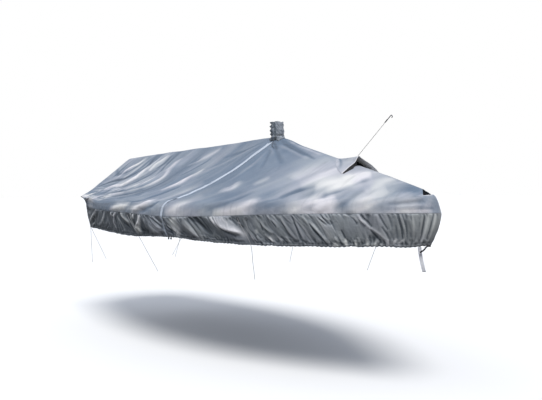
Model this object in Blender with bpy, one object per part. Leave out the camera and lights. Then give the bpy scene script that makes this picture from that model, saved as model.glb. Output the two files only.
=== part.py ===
"""Mast-up dinghy cover: a cloth ridge tent over the boom, with a gathered skirt.

Metres, +X to the bow, +Y to port, +Z up. The origin is on the centreline at the mast's
axis, just under the ridge of the cloth. The boat is not part of the model.

RIBS shapes every surface. A rib starts at the ridge, runs out over the deck edge, turns
down to the seam and goes on down the skirt to the hem. Along the boat a place is given by
its rib number `u` (0 at the stern, 10 at the stem). On the top `v` is 0 at the ridge, 1 at
the deck edge and 2 at the seam, and its sign is the side (+ port, - starboard). On the
skirt `w` is 0 at the seam and 1 at the hem.
"""
import math
import bmesh
import bpy
import numpy as np

for old in list(bpy.data.objects):
    bpy.data.objects.remove(old, do_unlink=True)

# ---------------------------------------------------------------- driving sizes
CLOTH = 0.002                # thickness of a cloth panel
WEBBING = 0.0012             # thickness of a closure tape
GAP = 0.0006                 # air between sewn pieces
UPPER_TAPE, LOWER_TAPE = 0.050, 0.028      # widths of the closure tapes, above and below the shroud
RIDGE_RADIUS = 0.030         # the boom rounds the ridge
TIE_PINCH = 0.080            # a tie presses the skirt's folds flat this far to each side
PORT, STARBOARD = 1, -1
SIDES = {"starboard": STARBOARD, "port": PORT}

COLUMNS = ("ridge_x", "ridge_z", "edge_x", "edge_y", "edge_z", "sag",
           "seam_x", "seam_y", "seam_z", "hem_x", "hem_y", "hem_z")
RIBS = (
    (-2.865, -0.090, -2.790, 0.622, -0.515, 0.12, -2.735, 0.580, -0.600, -2.700, 0.545, -0.832),
    (-2.200, -0.060, -2.220, 0.715, -0.518, 0.30, -2.200, 0.735, -0.612, -2.180, 0.690, -0.816),
    (-1.450, -0.034, -1.600, 0.790, -0.518, 0.42, -1.600, 0.838, -0.618, -1.600, 0.785, -0.819),
    (-0.700, -0.008, -1.000, 0.825, -0.512, 0.50, -1.000, 0.888, -0.616, -1.000, 0.830, -0.819),
    (0.000, 0.016, -0.385, 0.795, -0.500, 0.53, -0.390, 0.876, -0.626, -0.380, 0.815, -0.792),
    (0.360, -0.072, 0.120, 0.735, -0.488, 0.30, 0.120, 0.790, -0.610, 0.120, 0.735, -0.805),
    (0.750, -0.168, 0.620, 0.590, -0.476, 0.00, 0.620, 0.636, -0.585, 0.620, 0.590, -0.805),
    (1.050, -0.242, 1.020, 0.415, -0.463, -0.30, 1.020, 0.464, -0.568, 1.010, 0.425, -0.795),
    (1.360, -0.321, 1.410, 0.205, -0.448, -0.25, 1.420, 0.250, -0.557, 1.380, 0.225, -0.780),
    (1.600, -0.384, 1.650, 0.070, -0.436, -0.10, 1.690, 0.085, -0.551, 1.620, 0.075, -0.775),
    (1.700, -0.410, 1.735, 0.000, -0.430, 0.00, 1.812, 0.000, -0.548, 1.715, 0.000, -0.757),
)
STERN, MAST, STEM = 0.0, 4.0, 10.0      # rib numbers; the closure lies on the mast's rib

# Tension folds of the after top in plan, from the stern corner up to the boom (half the
# boat; the other half mirrors them). Between v 0.25 and the ridge they run out to 0.15.
FOLD_START_V, FOLD_AT_RIDGE = 0.25, 0.15
TOP_FOLD_COLUMNS = ("start_x", "start_y", "bend_x", "bend_y", "end_x", "end_y", "half_width", "height")
TOP_FOLDS = (
    (-2.73, 0.50, -1.98, 0.42, -2.10, 0.04, 0.070, -0.016),
    (-2.70, 0.57, -1.98, 0.50, -1.90, 0.04, 0.080, 0.016),
    (-2.60, 0.61, -1.72, 0.62, -1.66, 0.03, 0.080, -0.016),
    (-2.35, 0.67, -1.42, 0.70, -1.36, 0.05, 0.100, 0.014),
    (-2.00, 0.75, -1.10, 0.82, -1.12, 0.05, 0.100, -0.014),
    (-1.40, 0.84, -0.66, 0.88, -0.64, 0.12, 0.110, 0.012),
)

# Main folds of the skirt. `top` and `foot` are metres along the seam from the stem.
SKIRT_FOLD_COLUMNS = ("top", "foot", "half_width", "height")
SKIRT_FOLDS = (
    (0.05, 0.045, 0.035, 0.010), (0.22, 0.20, 0.060, 0.008), (0.41, 0.33, 0.045, 0.012),
    (0.58, 0.50, 0.045, 0.012), (0.69, 0.60, 0.045, 0.014), (0.83, 0.70, 0.050, 0.016),
    (0.97, 0.82, 0.050, 0.016), (1.10, 0.97, 0.050, 0.014), (1.24, 1.12, 0.050, 0.012),
    (1.72, 1.44, 0.120, 0.030), (2.10, 1.98, 0.070, 0.012), (2.32, 2.36, 0.050, 0.014),
    (2.55, 2.42, 0.050, 0.014), (2.75, 2.52, 0.060, 0.014), (3.02, 2.88, 0.070, 0.022),
    (3.45, 3.30, 0.070, 0.010), (3.80, 3.70, 0.070, 0.010), (4.30, 4.42, 0.090, 0.010),
)

# ---------------------------------------------------------------- the cover's surface


def column(table, names, name):
    return np.array([row[names.index(name)] for row in table])


def smooth_row(values, u):
    """Reads a column of RIBS between its rows (a Catmull-Rom spline)."""
    u = np.asarray(u, float)
    last = len(values) - 1
    i = np.clip(np.floor(u).astype(int), 0, last - 1)
    t = u - i
    b, c = values[i], values[i + 1]
    a = np.where(i > 0, values[np.maximum(i - 1, 0)], 2 * b - c)
    d = np.where(i < last - 1, values[np.minimum(i + 2, last)], 2 * c - b)
    return b + 0.5 * t * (c - a + t * (2 * a - 5 * b + 4 * c - d + t * (3 * (b - c) + d - a)))


def rib(u):
    return {name: smooth_row(column(RIBS, COLUMNS, name), u) for name in COLUMNS}


def bump(distance, half_width):
    """A soft ridge: 1 on its line, 0 from two half widths away."""
    near = np.clip(1 - np.abs(distance) / (2 * half_width), 0, 1)
    return near * near * (3 - 2 * near)


def top_folds(x, y):
    """Height of the tension folds at a place in plan."""
    height = np.zeros_like(x)
    along = np.linspace(0, 1, 24)
    for row in TOP_FOLDS:
        fold = dict(zip(TOP_FOLD_COLUMNS, row))
        line_x = bend(fold["start_x"], fold["bend_x"], fold["end_x"], along)
        line_y = bend(fold["start_y"], fold["bend_y"], fold["end_y"], along)
        away = np.hypot(x[..., None] - line_x, np.abs(y)[..., None] - line_y).min(axis=-1)
        height = height + fold["height"] * bump(away, fold["half_width"])
    return height


def bend(start, middle, end, t):
    return (1 - t) ** 2 * start + 2 * t * (1 - t) * middle + t * t * end


def top_point(u, v):
    """The middle of the top cloth."""
    u, v = np.broadcast_arrays(np.asarray(u, float), np.asarray(v, float))
    r = rib(u)
    side = np.where(v < 0, STARBOARD, PORT)
    out = np.clip(np.abs(v), 0, 1)
    down = np.clip(np.abs(v) - 1, 0, 1)
    roundness = RIDGE_RADIUS / np.maximum(r["edge_y"], 0.1)
    eased = (np.hypot(out, roundness) - roundness) / (np.hypot(1, roundness) - roundness)
    drop = eased * (1 + r["sag"] * (1 - eased))
    x = r["ridge_x"] + (r["edge_x"] - r["ridge_x"]) * out
    y = r["edge_y"] * out
    z = r["ridge_z"] + (r["edge_z"] - r["ridge_z"]) * drop
    slope = (r["edge_z"] - r["ridge_z"]) * (1 - r["sag"]) / np.maximum(r["edge_y"], 0.05)
    shoulder = np.maximum(r["edge_z"] + 0.8 * slope * np.abs(r["seam_y"] - r["edge_y"]),
                          0.6 * r["edge_z"] + 0.4 * r["seam_z"])
    over = down > 0
    x = np.where(over, bend(r["edge_x"], (r["edge_x"] + r["seam_x"]) / 2, r["seam_x"], down), x)
    y = np.where(over, bend(r["edge_y"], r["seam_y"], r["seam_y"], down), y)
    z = np.where(over, bend(r["edge_z"], shoulder, r["seam_z"], down), z)
    taut = np.clip((2 - np.abs(v)) / 0.6, 0, 1) * np.clip(np.abs(v) / FOLD_START_V, FOLD_AT_RIDGE, 1)
    z = z + top_folds(x, y) * taut * np.clip(MAST - 0.1 - u, 0, 1)
    return np.stack([x, side * y, z], axis=-1)


SEAM_U = np.linspace(STERN, STEM, 1001)
SEAM_XY = np.stack([rib(SEAM_U)["seam_x"], rib(SEAM_U)["seam_y"]], axis=-1)
SEAM_STEP = np.linalg.norm(np.diff(SEAM_XY, axis=0), axis=1)
SEAM_GIRTH = np.concatenate([np.cumsum(SEAM_STEP[::-1])[::-1], [0.0]])   # metres from the stem


def girth(u):
    return np.interp(u, SEAM_U, SEAM_GIRTH)


def rib_at_girth(g):
    return np.interp(-np.asarray(g, float), -SEAM_GIRTH, SEAM_U)


def skirt_folds(g, w):
    """How far the skirt stands out at `g` metres from the stem and `w` down."""
    out = np.zeros_like(g)
    for row in SKIRT_FOLDS:
        fold = dict(zip(SKIRT_FOLD_COLUMNS, row))
        line = fold["top"] + (fold["foot"] - fold["top"]) * w
        out = out + fold["height"] * bump(g - line, fold["half_width"])
    for tie in TIES:
        line = tie[TIE_COLUMNS.index("ring_girth")] * (1 - w) + tie[TIE_COLUMNS.index("hem_girth")] * w
        out = out * (1 - np.exp(-((g - line) / TIE_PINCH) ** 2))
    return out * np.sin(math.pi * np.clip(w, 0, 1)) ** 0.7


def skirt_point(u, w, side):
    """The middle of the skirt's cloth."""
    u, w = np.broadcast_arrays(np.asarray(u, float), np.asarray(w, float))
    r = rib(u)
    ahead = rib(np.minimum(u + 0.01, STEM))
    behind = rib(np.maximum(u - 0.01, STERN))
    run_x = ahead["seam_x"] - behind["seam_x"]
    run_y = ahead["seam_y"] - behind["seam_y"]
    length = np.hypot(run_x, run_y)
    out = skirt_folds(girth(u), w) * np.clip((STEM - u) / 0.3, 0, 1)
    x = r["seam_x"] + (r["hem_x"] - r["seam_x"]) * w ** 1.6 - run_y / length * out
    y = r["seam_y"] + (r["hem_y"] - r["seam_y"]) * w + run_x / length * out
    z = r["seam_z"] + (r["hem_z"] - r["seam_z"]) * w
    return np.stack([x, side * y, z], axis=-1)


def closure_u(offset, at_v=None, at_w=None):
    """Rib number of a line `offset` metres forward of the closure."""
    step = 0.02
    if at_v is not None:
        run = top_point(MAST + step, at_v)[..., 0] - top_point(MAST - step, at_v)[..., 0]
    else:
        r_ahead, r_behind = rib(MAST + step), rib(MAST - step)
        run = (r_ahead["seam_x"] - r_behind["seam_x"]) + 0 * at_w
    return MAST + offset * 2 * step / run


# ---------------------------------------------------------------- building solids


def material(name, colour, roughness, metallic=0.0):
    made = bpy.data.materials.new(name)
    made.use_nodes = True
    shader = made.node_tree.nodes["Principled BSDF"]
    shader.inputs["Base Color"].default_value = (*colour, 1.0)
    shader.inputs["Roughness"].default_value = roughness
    shader.inputs["Metallic"].default_value = metallic
    return made


def add_object(name, data, finish):
    made = bpy.data.objects.new(name, data)
    made.data.materials.append(finish)
    bpy.context.collection.objects.link(made)
    return made


def sheet(name, points, finish, thickness=CLOTH, keep=None, weld=False):
    """A grid of points along the middle of a cloth, thickened both ways."""
    rows, cols = points.shape[:2]
    index = np.arange(rows * cols).reshape(rows, cols)
    faces = [(index[i, j], index[i + 1, j], index[i + 1, j + 1], index[i, j + 1])
             for i in range(rows - 1) for j in range(cols - 1) if keep is None or keep[i, j]]
    mesh = bpy.data.meshes.new(name)
    mesh.from_pydata([tuple(p) for p in points.reshape(-1, 3)], [], [tuple(map(int, f)) for f in faces])
    form = bmesh.new()
    form.from_mesh(mesh)
    bmesh.ops.delete(form, geom=[vert for vert in form.verts if not vert.link_faces], context="VERTS")
    if weld:
        bmesh.ops.remove_doubles(form, verts=form.verts, dist=1e-5)
        bmesh.ops.recalc_face_normals(form, faces=form.faces)
    form.to_mesh(mesh)
    form.free()
    mesh.shade_smooth()
    made = add_object(name, mesh, finish)
    thicken = made.modifiers.new("Thickness", "SOLIDIFY")
    thicken.thickness = thickness
    thicken.offset = 0.0
    thicken.use_even_offset = True
    return made


def surface_normals(points):
    """Unit normals of a grid of points, from the grid's own directions."""
    along = np.gradient(points, axis=0)
    across = np.gradient(points, axis=1)
    normal = np.cross(along, across)
    return normal / np.linalg.norm(normal, axis=-1, keepdims=True)


def smooth_route(points, count):
    """Evenly numbered places on a smooth curve through a route's points."""
    route = np.array(points, float)
    return smooth_rows(route, np.linspace(0, len(route) - 1, count))


def smooth_rows(route, u):
    return np.stack([smooth_row(route[:, k], u) for k in range(route.shape[1])], axis=-1)


def cord(name, points, diameter, finish, closed=False):
    curve = bpy.data.curves.new(name, "CURVE")
    curve.dimensions = "3D"
    curve.bevel_depth = diameter / 2
    curve.bevel_resolution = 2
    curve.use_fill_caps = True
    line = curve.splines.new("POLY")
    line.points.add(len(points) - 1)
    for place, point in zip(line.points, points):
        place.co = (*point, 1.0)
    line.use_cyclic_u = closed
    return add_object(name, curve, finish)


def solid(name, verts, faces, finish):
    mesh = bpy.data.meshes.new(name)
    mesh.from_pydata([tuple(map(float, p)) for p in verts], [], faces)
    form = bmesh.new()
    form.from_mesh(mesh)
    bmesh.ops.recalc_face_normals(form, faces=form.faces)
    form.to_mesh(mesh)
    form.free()
    mesh.shade_smooth()
    return add_object(name, mesh, finish)


def unit(vector):
    vector = np.asarray(vector, float)
    return vector / np.linalg.norm(vector)


def ring(name, centre, facing, radius, wire, finish, around=8, sides=4):
    """A round ring of wire, flat against a surface that faces `facing`."""
    facing = unit(facing)
    first = unit(np.cross(facing, (0, 0, 1)))
    second = np.cross(facing, first)
    verts, faces = [], []
    for i in range(around):
        turn = 2 * math.pi * i / around
        spoke = math.cos(turn) * first + math.sin(turn) * second
        for k in range(sides):
            roll = 2 * math.pi * k / sides
            verts.append(centre + spoke * (radius + wire / 2 * math.cos(roll))
                         + facing * (wire / 2 * math.sin(roll)))
            faces.append((i * sides + k, (i + 1) % around * sides + k,
                          (i + 1) % around * sides + (k + 1) % sides, i * sides + (k + 1) % sides))
    return solid(name, verts, faces, finish)


# ---------------------------------------------------------------- finishes
TOP_CLOTH = material("top_cloth", (0.36, 0.43, 0.51), 0.7)
SKIRT_CLOTH = material("skirt_cloth", (0.20, 0.22, 0.24), 0.6)
WHITE_WEBBING = material("white_webbing", (0.72, 0.75, 0.80), 0.7)
LIGHT_CORD = material("light_cord", (0.62, 0.62, 0.60), 0.8)
DARK_CORD = material("dark_cord", (0.03, 0.03, 0.035), 0.7)
BLACK_MESH = material("black_mesh", (0.01, 0.01, 0.012), 0.9)
BLACK_PLASTIC = material("black_plastic", (0.02, 0.02, 0.02), 0.5)
RING_METAL = material("ring_metal", (0.10, 0.10, 0.11), 0.4, 1.0)

# ---------------------------------------------------------------- places on the cloth
HOLE_V = 0.07                # half width of the mast hole at the closure, as v
HOLE_LENGTH = 0.13           # its length along the ridge
SHROUD_V = 0.955             # where the shroud comes out of the closure
SHROUD_GAP = 0.008           # half width of the slit it comes out of
BUTT = 0.0004                # half the gap where two panels meet under the tape
VENT_U = (6.11, 6.35, 6.61, 6.86)       # ribs from the hood's after point to its mouth
VENT_HOLE_V = (HOLE_V, 0.19)            # half widths of the hole under the hood
NOTCH_U = 9.34                          # the forestay notch runs from here to the stem
NOTCH_V = 1.01
TOP_V = np.array([0, HOLE_V / 2, HOLE_V, 0.19, 0.36, 0.55, 0.74, 0.89, SHROUD_V, 1.01, 1.5, 2.0])
BOTH_V = np.concatenate([-TOP_V[:0:-1], TOP_V])
CELL_V = np.abs(BOTH_V[1:] + BOTH_V[:-1]) / 2       # how far out each row of cells lies
SKIRT_W = np.linspace(0, 1, 5)
RIDGE_PER_RIB = {"aft": 0.70, "fore": 0.33}         # metres of ridge to one rib, beside the mast
HOLE_AFT_U = MAST - HOLE_LENGTH / 2 / RIDGE_PER_RIB["aft"]
HOLE_FORE_U = MAST + HOLE_LENGTH / 2 / RIDGE_PER_RIB["fore"]
AFT_U = np.concatenate([np.linspace(STERN, 3.7, 14), [HOLE_AFT_U, MAST, MAST]])
FORE_U = np.concatenate([[MAST, MAST, HOLE_FORE_U, 4.6, 5.1, 5.6], VENT_U,
                         [7.4, 8.1, 8.8, NOTCH_U, 9.7, STEM]])


CORNER_PULL = 0.38           # how far the hole's corners are drawn in, as a share of their v
CORNER_REACH_U, CORNER_START_U, CORNER_REACH_V = 0.35, 0.09, 0.12


def near_mast_v(u, v):
    """Draws the corners of the mast hole in, so that it is rounder than the grid."""
    nearness = np.clip(1 - np.abs(u - MAST) / CORNER_REACH_U, 0, 1)
    corner = np.clip(np.abs(u - MAST) / CORNER_START_U, 0, 1)
    inner = np.clip(1 - np.maximum(np.abs(v) - HOLE_V, 0) / CORNER_REACH_V, 0, 1)
    return v * (1 - CORNER_PULL * nearness * corner * inner)


# ---------------------------------------------------------------- top panels


def tape_half(v):
    """Half the width of the closure tape at a place on the top."""
    return np.where(np.abs(v) > SHROUD_V, LOWER_TAPE, UPPER_TAPE) / 2


def top_panel(name, u_values, closure_side, cut, weld=False):
    """A top panel between two ribs. `cut` lists cells left out, as (first, last, v)."""
    u, v = np.meshgrid(u_values, BOTH_V, indexing="ij")
    edge, beside = (0, 1) if closure_side > 0 else (-1, -2)
    slit = BUTT + np.where(np.isclose(np.abs(BOTH_V), SHROUD_V), SHROUD_GAP, 0)
    u[edge] = closure_u(closure_side * slit, at_v=BOTH_V)
    u[beside] = closure_u(closure_side * tape_half(BOTH_V), at_v=BOTH_V)
    keep = np.ones((len(u_values) - 1, len(CELL_V)), bool)
    for first, last, half_v in cut:
        keep[first:last, CELL_V < half_v] = False
    sheet(name, top_point(u, near_mast_v(u, v)), TOP_CLOTH, keep=keep, weld=weld)


def top_panels():
    top_panel("top_aft", AFT_U, -1, [(len(AFT_U) - 3, len(AFT_U) - 1, HOLE_V)])
    vent = list(FORE_U).index(VENT_U[1])
    notch = list(FORE_U).index(NOTCH_U)
    cut = [(0, 2, HOLE_V), (vent, vent + 1, VENT_HOLE_V[0]), (vent + 1, vent + 2, VENT_HOLE_V[1]),
           (notch, len(FORE_U) - 1, NOTCH_V)]
    top_panel("top_fore", FORE_U, 1, cut, weld=True)


STERN_TUCK = 0.003           # the stern panel stands this far inside the top's after edge
STERN_BELLY = 0.030          # and bulges this far aft between its sides


def stern_panel():
    """The near-vertical end under the boom end, just inside the top's after edge."""
    inset = CLOTH / 2 + 2.3 * GAP
    columns = np.linspace(-1, 1, 5)      # the ridge's own grid lines
    edge = top_point(STERN, TOP_V[2:])
    ahead = top_point(AFT_U[1], TOP_V[2:])
    normals = np.array([unit(np.cross(lower - upper, fore - upper))
                        for upper, lower, fore in zip(edge[:-1], edge[1:], ahead[:-1])])
    above_seam = edge[1:, 2] - edge[-1, 2]
    outward = normals[:, 1] * edge[1:, 1] + normals[:, 2] * above_seam
    normals = normals * np.sign(outward)[:, None]
    above, below = np.vstack([normals[:1], normals]), np.vstack([normals, normals[-1:]])
    mitre = (above + below) / (1 + (above * below).sum(axis=1, keepdims=True))
    corner = edge - inset * mitre + np.array([STERN_TUCK, 0, 0])
    corner[-1, 2] = edge[-1, 2]
    belly = STERN_BELLY * np.minimum(TOP_V[2:], 1)[:, None] * (1 - columns ** 2)
    x = corner[:, :1] - belly
    y = corner[:, 1:2] * columns
    z = corner[:, 2:] + 0 * columns
    rows = np.stack([x, y, z], -1)
    under_ridge = np.array([STERN_TUCK, 0, -CLOTH - 2 * GAP])
    rows[0] = top_point(STERN, columns * HOLE_V) + under_ridge
    sheet("stern_panel", rows, TOP_CLOTH)


# ---------------------------------------------------------------- skirt
SEAM_DROP = np.array([0, 0, -0.0010])       # the skirt starts this far under the top's edge


def skirt_grid(u, side):
    return skirt_point(u[:, None], SKIRT_W[None, :], side) + SEAM_DROP


def crease_girths(first, last, spacing):
    """Even girths from aft forward, with extra ones under each tie."""
    even = np.linspace(first, last, int((first - last) / spacing) + 2)
    under_ties = []
    for row in TIES:
        tie = dict(zip(TIE_COLUMNS, row))
        under_ties += list(np.linspace(tie["ring_girth"], tie["hem_girth"], 3))
    under_ties = np.array([g for g in under_ties if last + 0.02 < g < first - 0.02])
    apart = [g for g in even if g in (first, last) or np.abs(under_ties - g).min(initial=1) > spacing / 3]
    return np.sort(np.concatenate([apart, under_ties]))[::-1]


def skirt_strips():
    at_seam = np.zeros(1)
    edge = [closure_u(sign * BUTT, at_w=at_seam)[0] for sign in (-1, 1)]
    beside = [closure_u(sign * LOWER_TAPE / 2, at_w=at_seam)[0] for sign in (-1, 1)]
    aft_girths = crease_girths(float(girth(STERN)), float(girth(beside[0])) + 0.05, 0.12)
    fore_girths = crease_girths(float(girth(beside[1])) - 0.04, 0.0, 0.075)
    aft = np.concatenate([rib_at_girth(aft_girths), [beside[0], edge[0]]])
    fore = np.concatenate([[edge[1], beside[1]], rib_at_girth(fore_girths)])
    for label, side in SIDES.items():
        sheet(f"skirt_aft_{label}", skirt_grid(aft, side), SKIRT_CLOTH)
        points = skirt_grid(fore, side)
        points[..., 1] = side * np.maximum(side * points[..., 1], 0.0018)
        sheet(f"skirt_fore_{label}", points, SKIRT_CLOTH)


SKIRT_BELLY = 0.020          # the stern skirt bulges this far aft


def stern_skirt():
    """The skirt across the stern, between the two side strips and a little inside them."""
    columns = np.linspace(-1, 1, 7)
    corner = skirt_point(STERN, SKIRT_W, PORT) + 0.7 * SEAM_DROP
    half = corner[:, 1] - CLOTH / 2 - GAP - 0.001
    x = corner[:, 0, None] + STERN_TUCK + 0.001 - SKIRT_BELLY * (1 - columns ** 2)
    y = half[:, None] * columns
    z = corner[:, 2, None] + 0 * columns
    sheet("skirt_stern", np.stack([x, y, z], -1), SKIRT_CLOTH)


# ---------------------------------------------------------------- closure
TAPE_LIFT = CLOTH / 2 + GAP + WEBBING / 2
TAPE_START_V = 0.095         # the upper tape starts here, just outside the sleeve
TAPE_PARTING_V = 0.014       # the tapes end this far above and below the shroud
ACROSS = np.array([-0.5, 0, 0.5])


def lift_off(points, height, side):
    """Moves a strip of points off the cloth, outwards."""
    normal = surface_normals(points)
    outward = normal[..., 2] + side * normal[..., 1]
    return points + normal * np.sign(outward)[..., None] * height


def closure_tapes():
    for label, side in SIDES.items():
        upper_v = np.concatenate([[TAPE_START_V], TOP_V[3:8], [SHROUD_V - TAPE_PARTING_V]])
        u = np.array([closure_u(UPPER_TAPE * ACROSS, at_v=v) for v in upper_v])
        upper = top_point(u, side * near_mast_v(u, upper_v[:, None]))
        sheet(f"closure_tape_upper_{label}", lift_off(upper, TAPE_LIFT, side), WHITE_WEBBING, WEBBING)
        lower_v = np.concatenate([[SHROUD_V + TAPE_PARTING_V], TOP_V[9:]])
        u = np.array([closure_u(LOWER_TAPE * ACROSS, at_v=v) for v in lower_v])
        down_top = top_point(u, side * lower_v[:, None])
        seam_u = closure_u(LOWER_TAPE * ACROSS, at_w=np.zeros(3))
        down_skirt = skirt_point(seam_u[None, :], SKIRT_W[1:, None], side) + SEAM_DROP
        lower = np.concatenate([down_top, down_skirt])
        lower = lift_off(lower, TAPE_LIFT + GAP / 2, side)
        sheet(f"closure_tape_lower_{label}", lower, WHITE_WEBBING, WEBBING)


def barrel(name, centre, axis, radius, length, finish, around=8):
    """A small turned toggle: a cylinder with drawn-in ends."""
    axis = unit(axis)
    first = unit(np.cross(axis, (0.3, 0.2, 0.9)))
    second = np.cross(axis, first)
    verts, faces = [], []
    for at, scale in ((-0.5, 0.6), (-0.35, 1.0), (0.35, 1.0), (0.5, 0.6)):
        for i in range(around):
            turn = 2 * math.pi * i / around
            spoke = math.cos(turn) * first + math.sin(turn) * second
            verts.append(centre + axis * at * length + spoke * radius * scale)
    for k in range(3):
        for i in range(around):
            j = (i + 1) % around
            faces.append((k * around + i, k * around + j, (k + 1) * around + j, (k + 1) * around + i))
    faces.append(tuple(range(around)))
    faces.append(tuple(range(3 * around, 4 * around)))
    return solid(name, verts, faces, finish)


def closure_toggles():
    """Two toggles on the hem's shock cord, at the foot of each closure."""
    radius, length = 0.006, 0.018
    for label, side in SIDES.items():
        for number, (offset, lean) in enumerate(((0.004, 0.1), (0.036, 0.5)), 1):
            hem = skirt_point(closure_u(offset, at_w=np.zeros(1))[0], 1.0, side) + SEAM_DROP
            axis = unit((lean, 0.15 * side, -1))
            centre = hem + axis * (length / 2 + GAP) - np.array([0, 0, CLOTH])
            barrel(f"closure_toggle_{label}_{number}", centre, axis, radius, length, BLACK_PLASTIC)


# ---------------------------------------------------------------- mast sleeve
SLEEVE_HEIGHT = 0.145
MAST_RAKE = 0.069
LACED_EDGE = math.radians(-124)        # where the sleeve's laced opening is
SLEEVE_ROWS = (                        # height, radius, how much the pleats stand out
    (0.020, 0.0530, 0.10), (0.036, 0.0500, 0.06), (0.060, 0.0545, 0.05), (SLEEVE_HEIGHT, 0.0525, 0.05),
)
LASHING_HEIGHT = 0.036


def hole_ring():
    """The edge of the mast hole, anticlockwise seen from above, as (u, v)."""
    tape = [float(closure_u(sign * UPPER_TAPE / 2, at_v=HOLE_V)) for sign in (-1, 1)]
    port = [(HOLE_FORE_U, 0), (HOLE_FORE_U, HOLE_V / 2), (HOLE_FORE_U, HOLE_V), (tape[1], HOLE_V),
            (tape[0], HOLE_V), (HOLE_AFT_U, HOLE_V), (HOLE_AFT_U, HOLE_V / 2), (HOLE_AFT_U, 0)]
    starboard = [(u, -v) for u, v in port[-2:0:-1]]
    return np.array(port + starboard)


def sleeve_radius(turn, radius, pleats):
    laced = np.exp(-(np.arctan2(np.sin(turn - LACED_EDGE), np.cos(turn - LACED_EDGE)) / 0.22) ** 2)
    return radius * (1 + pleats * (0.6 * np.cos(5 * turn + 1) + 0.4 * np.cos(8 * turn))) + 0.011 * laced


def sleeve_row(turn, height, radius, pleats):
    out = sleeve_radius(turn, radius, pleats)
    lean = -MAST_RAKE * height
    return np.stack([lean + out * np.cos(turn), out * np.sin(turn), height + 0 * turn], -1)


def sleeve_foot():
    """The sleeve's lower edge, just above the edge of the mast hole."""
    ring_uv = hole_ring()
    foot = top_point(ring_uv[:, 0], near_mast_v(ring_uv[:, 0], ring_uv[:, 1]))
    foot = np.stack([foot, (foot + np.roll(foot, -1, axis=0)) / 2], axis=1).reshape(-1, 3)
    return foot + np.array([0, 0, CLOTH + GAP + 0.0004])


def mast_sleeve():
    foot = sleeve_foot()
    turn = np.arctan2(foot[:, 1], foot[:, 0])
    points = np.array([foot] + [sleeve_row(turn, *row) for row in SLEEVE_ROWS])
    points = np.concatenate([points, points[:, :1]], axis=1)
    sheet("mast_collar", points, TOP_CLOTH, weld=True)


def collar_lashing():
    """Drawcord: one turn round the foot of the sleeve, and its end down the cloth."""
    thick = 0.004
    _, radius, pleats = SLEEVE_ROWS[1]
    foot = sleeve_foot()
    turn = np.arctan2(foot[:, 1], foot[:, 0])
    first = int(np.argmin(np.abs(turn - math.radians(-50))))
    turn = np.roll(turn, -first)
    around = sleeve_row(turn, LASHING_HEIGHT, radius, pleats)
    spoke = np.stack([np.cos(turn), np.sin(turn), 0 * turn], -1)
    wound = around + spoke * (CLOTH / 2 + thick / 2 + 2.2 * GAP)
    tail_uv = np.array([(4.17, -0.115), (4.24, -0.125), (4.34, -0.14)])
    tail = top_point(tail_uv[:, 0], tail_uv[:, 1]) + np.array([0.002, -0.002, 0.006])
    hang = np.array([[0.040, -0.052, 0.030], [0.046, -0.066, 0.002]])
    return cord("collar_lashing", np.concatenate([wound[:0:-1], hang, tail]), thick, LIGHT_CORD)


# ---------------------------------------------------------------- vent
HOOD_LIFT = 0.067            # height of the mouth's apex over the cloth
HOOD_POINT_V, HOOD_MOUTH_V = 0.03, 0.36      # half widths of the hood's ends, as v
HOOD_BRIM = 0.40             # the port edge is this share longer, so the mouth's port half flares
HOOD_RISE = (                # t across the mouth, and the share of the apex's height there
    (-1.00, 0.00), (-0.75, 0.12), (-0.50, 0.27), (-0.36, 0.36), (-0.17, 0.60), (0.00, 1.00),
    (0.12, 0.80), (0.30, 0.70), (0.50, 0.66), (0.75, 0.46), (1.00, 0.00),
)
MESH_AT = 0.90               # the mesh stands this far along the hood
MESH_THICKNESS = 0.001
HOOD_AIR = CLOTH + 3 * GAP   # from the top's middle to the hood's


def hood_half_v(s):
    return HOOD_POINT_V + (HOOD_MOUTH_V - HOOD_POINT_V) * s ** 0.9


def hood_point(s, t):
    """The hood: `s` 0 at its after point, 1 at the mouth; `t` -1..1 across."""
    u = VENT_U[0] + (VENT_U[-1] - VENT_U[0]) * s * (1 + HOOD_BRIM * s * np.maximum(t, 0))
    profile = smooth_route(HOOD_RISE, 80)
    rise = HOOD_LIFT * s ** 1.1 * np.interp(t, profile[:, 0], profile[:, 1])
    return top_point(u, t * hood_half_v(s)) + np.stack([0 * s, 0 * s, rise + HOOD_AIR], -1)


def vent():
    s, t = np.meshgrid(np.linspace(0, 1, 6), np.linspace(-1, 1, 9), indexing="ij")
    sheet("vent_hood", hood_point(s, t), TOP_CLOTH)
    across = np.linspace(-0.80, 0.80, 9)
    behind_brim = 2 * MESH_AT / (1 + np.sqrt(1 + 4 * HOOD_BRIM * MESH_AT * np.maximum(across, 0)))
    roof = hood_point(behind_brim, across) - np.array([0, 0, HOOD_AIR + 2 * GAP])
    floor = roof.copy()
    u = VENT_U[0] + (VENT_U[-1] - VENT_U[0]) * MESH_AT
    floor[:, 2] = top_point(u, across * hood_half_v(behind_brim))[:, 2] + CLOTH / 2 + 2 * GAP
    sheet("vent_mesh", np.array([floor, (floor + roof) / 2, roof]), BLACK_MESH, MESH_THICKNESS)


LIFT_TOP = np.array([1.352, 0.0, 0.114])      # where the lift line meets the forestay
LIFT_CORD, LIFT_HOOK_WIRE = 0.003, 0.006
LIFT_HOOK_LENGTH, LIFT_HOOK_BEND = 0.085, 0.009


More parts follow.
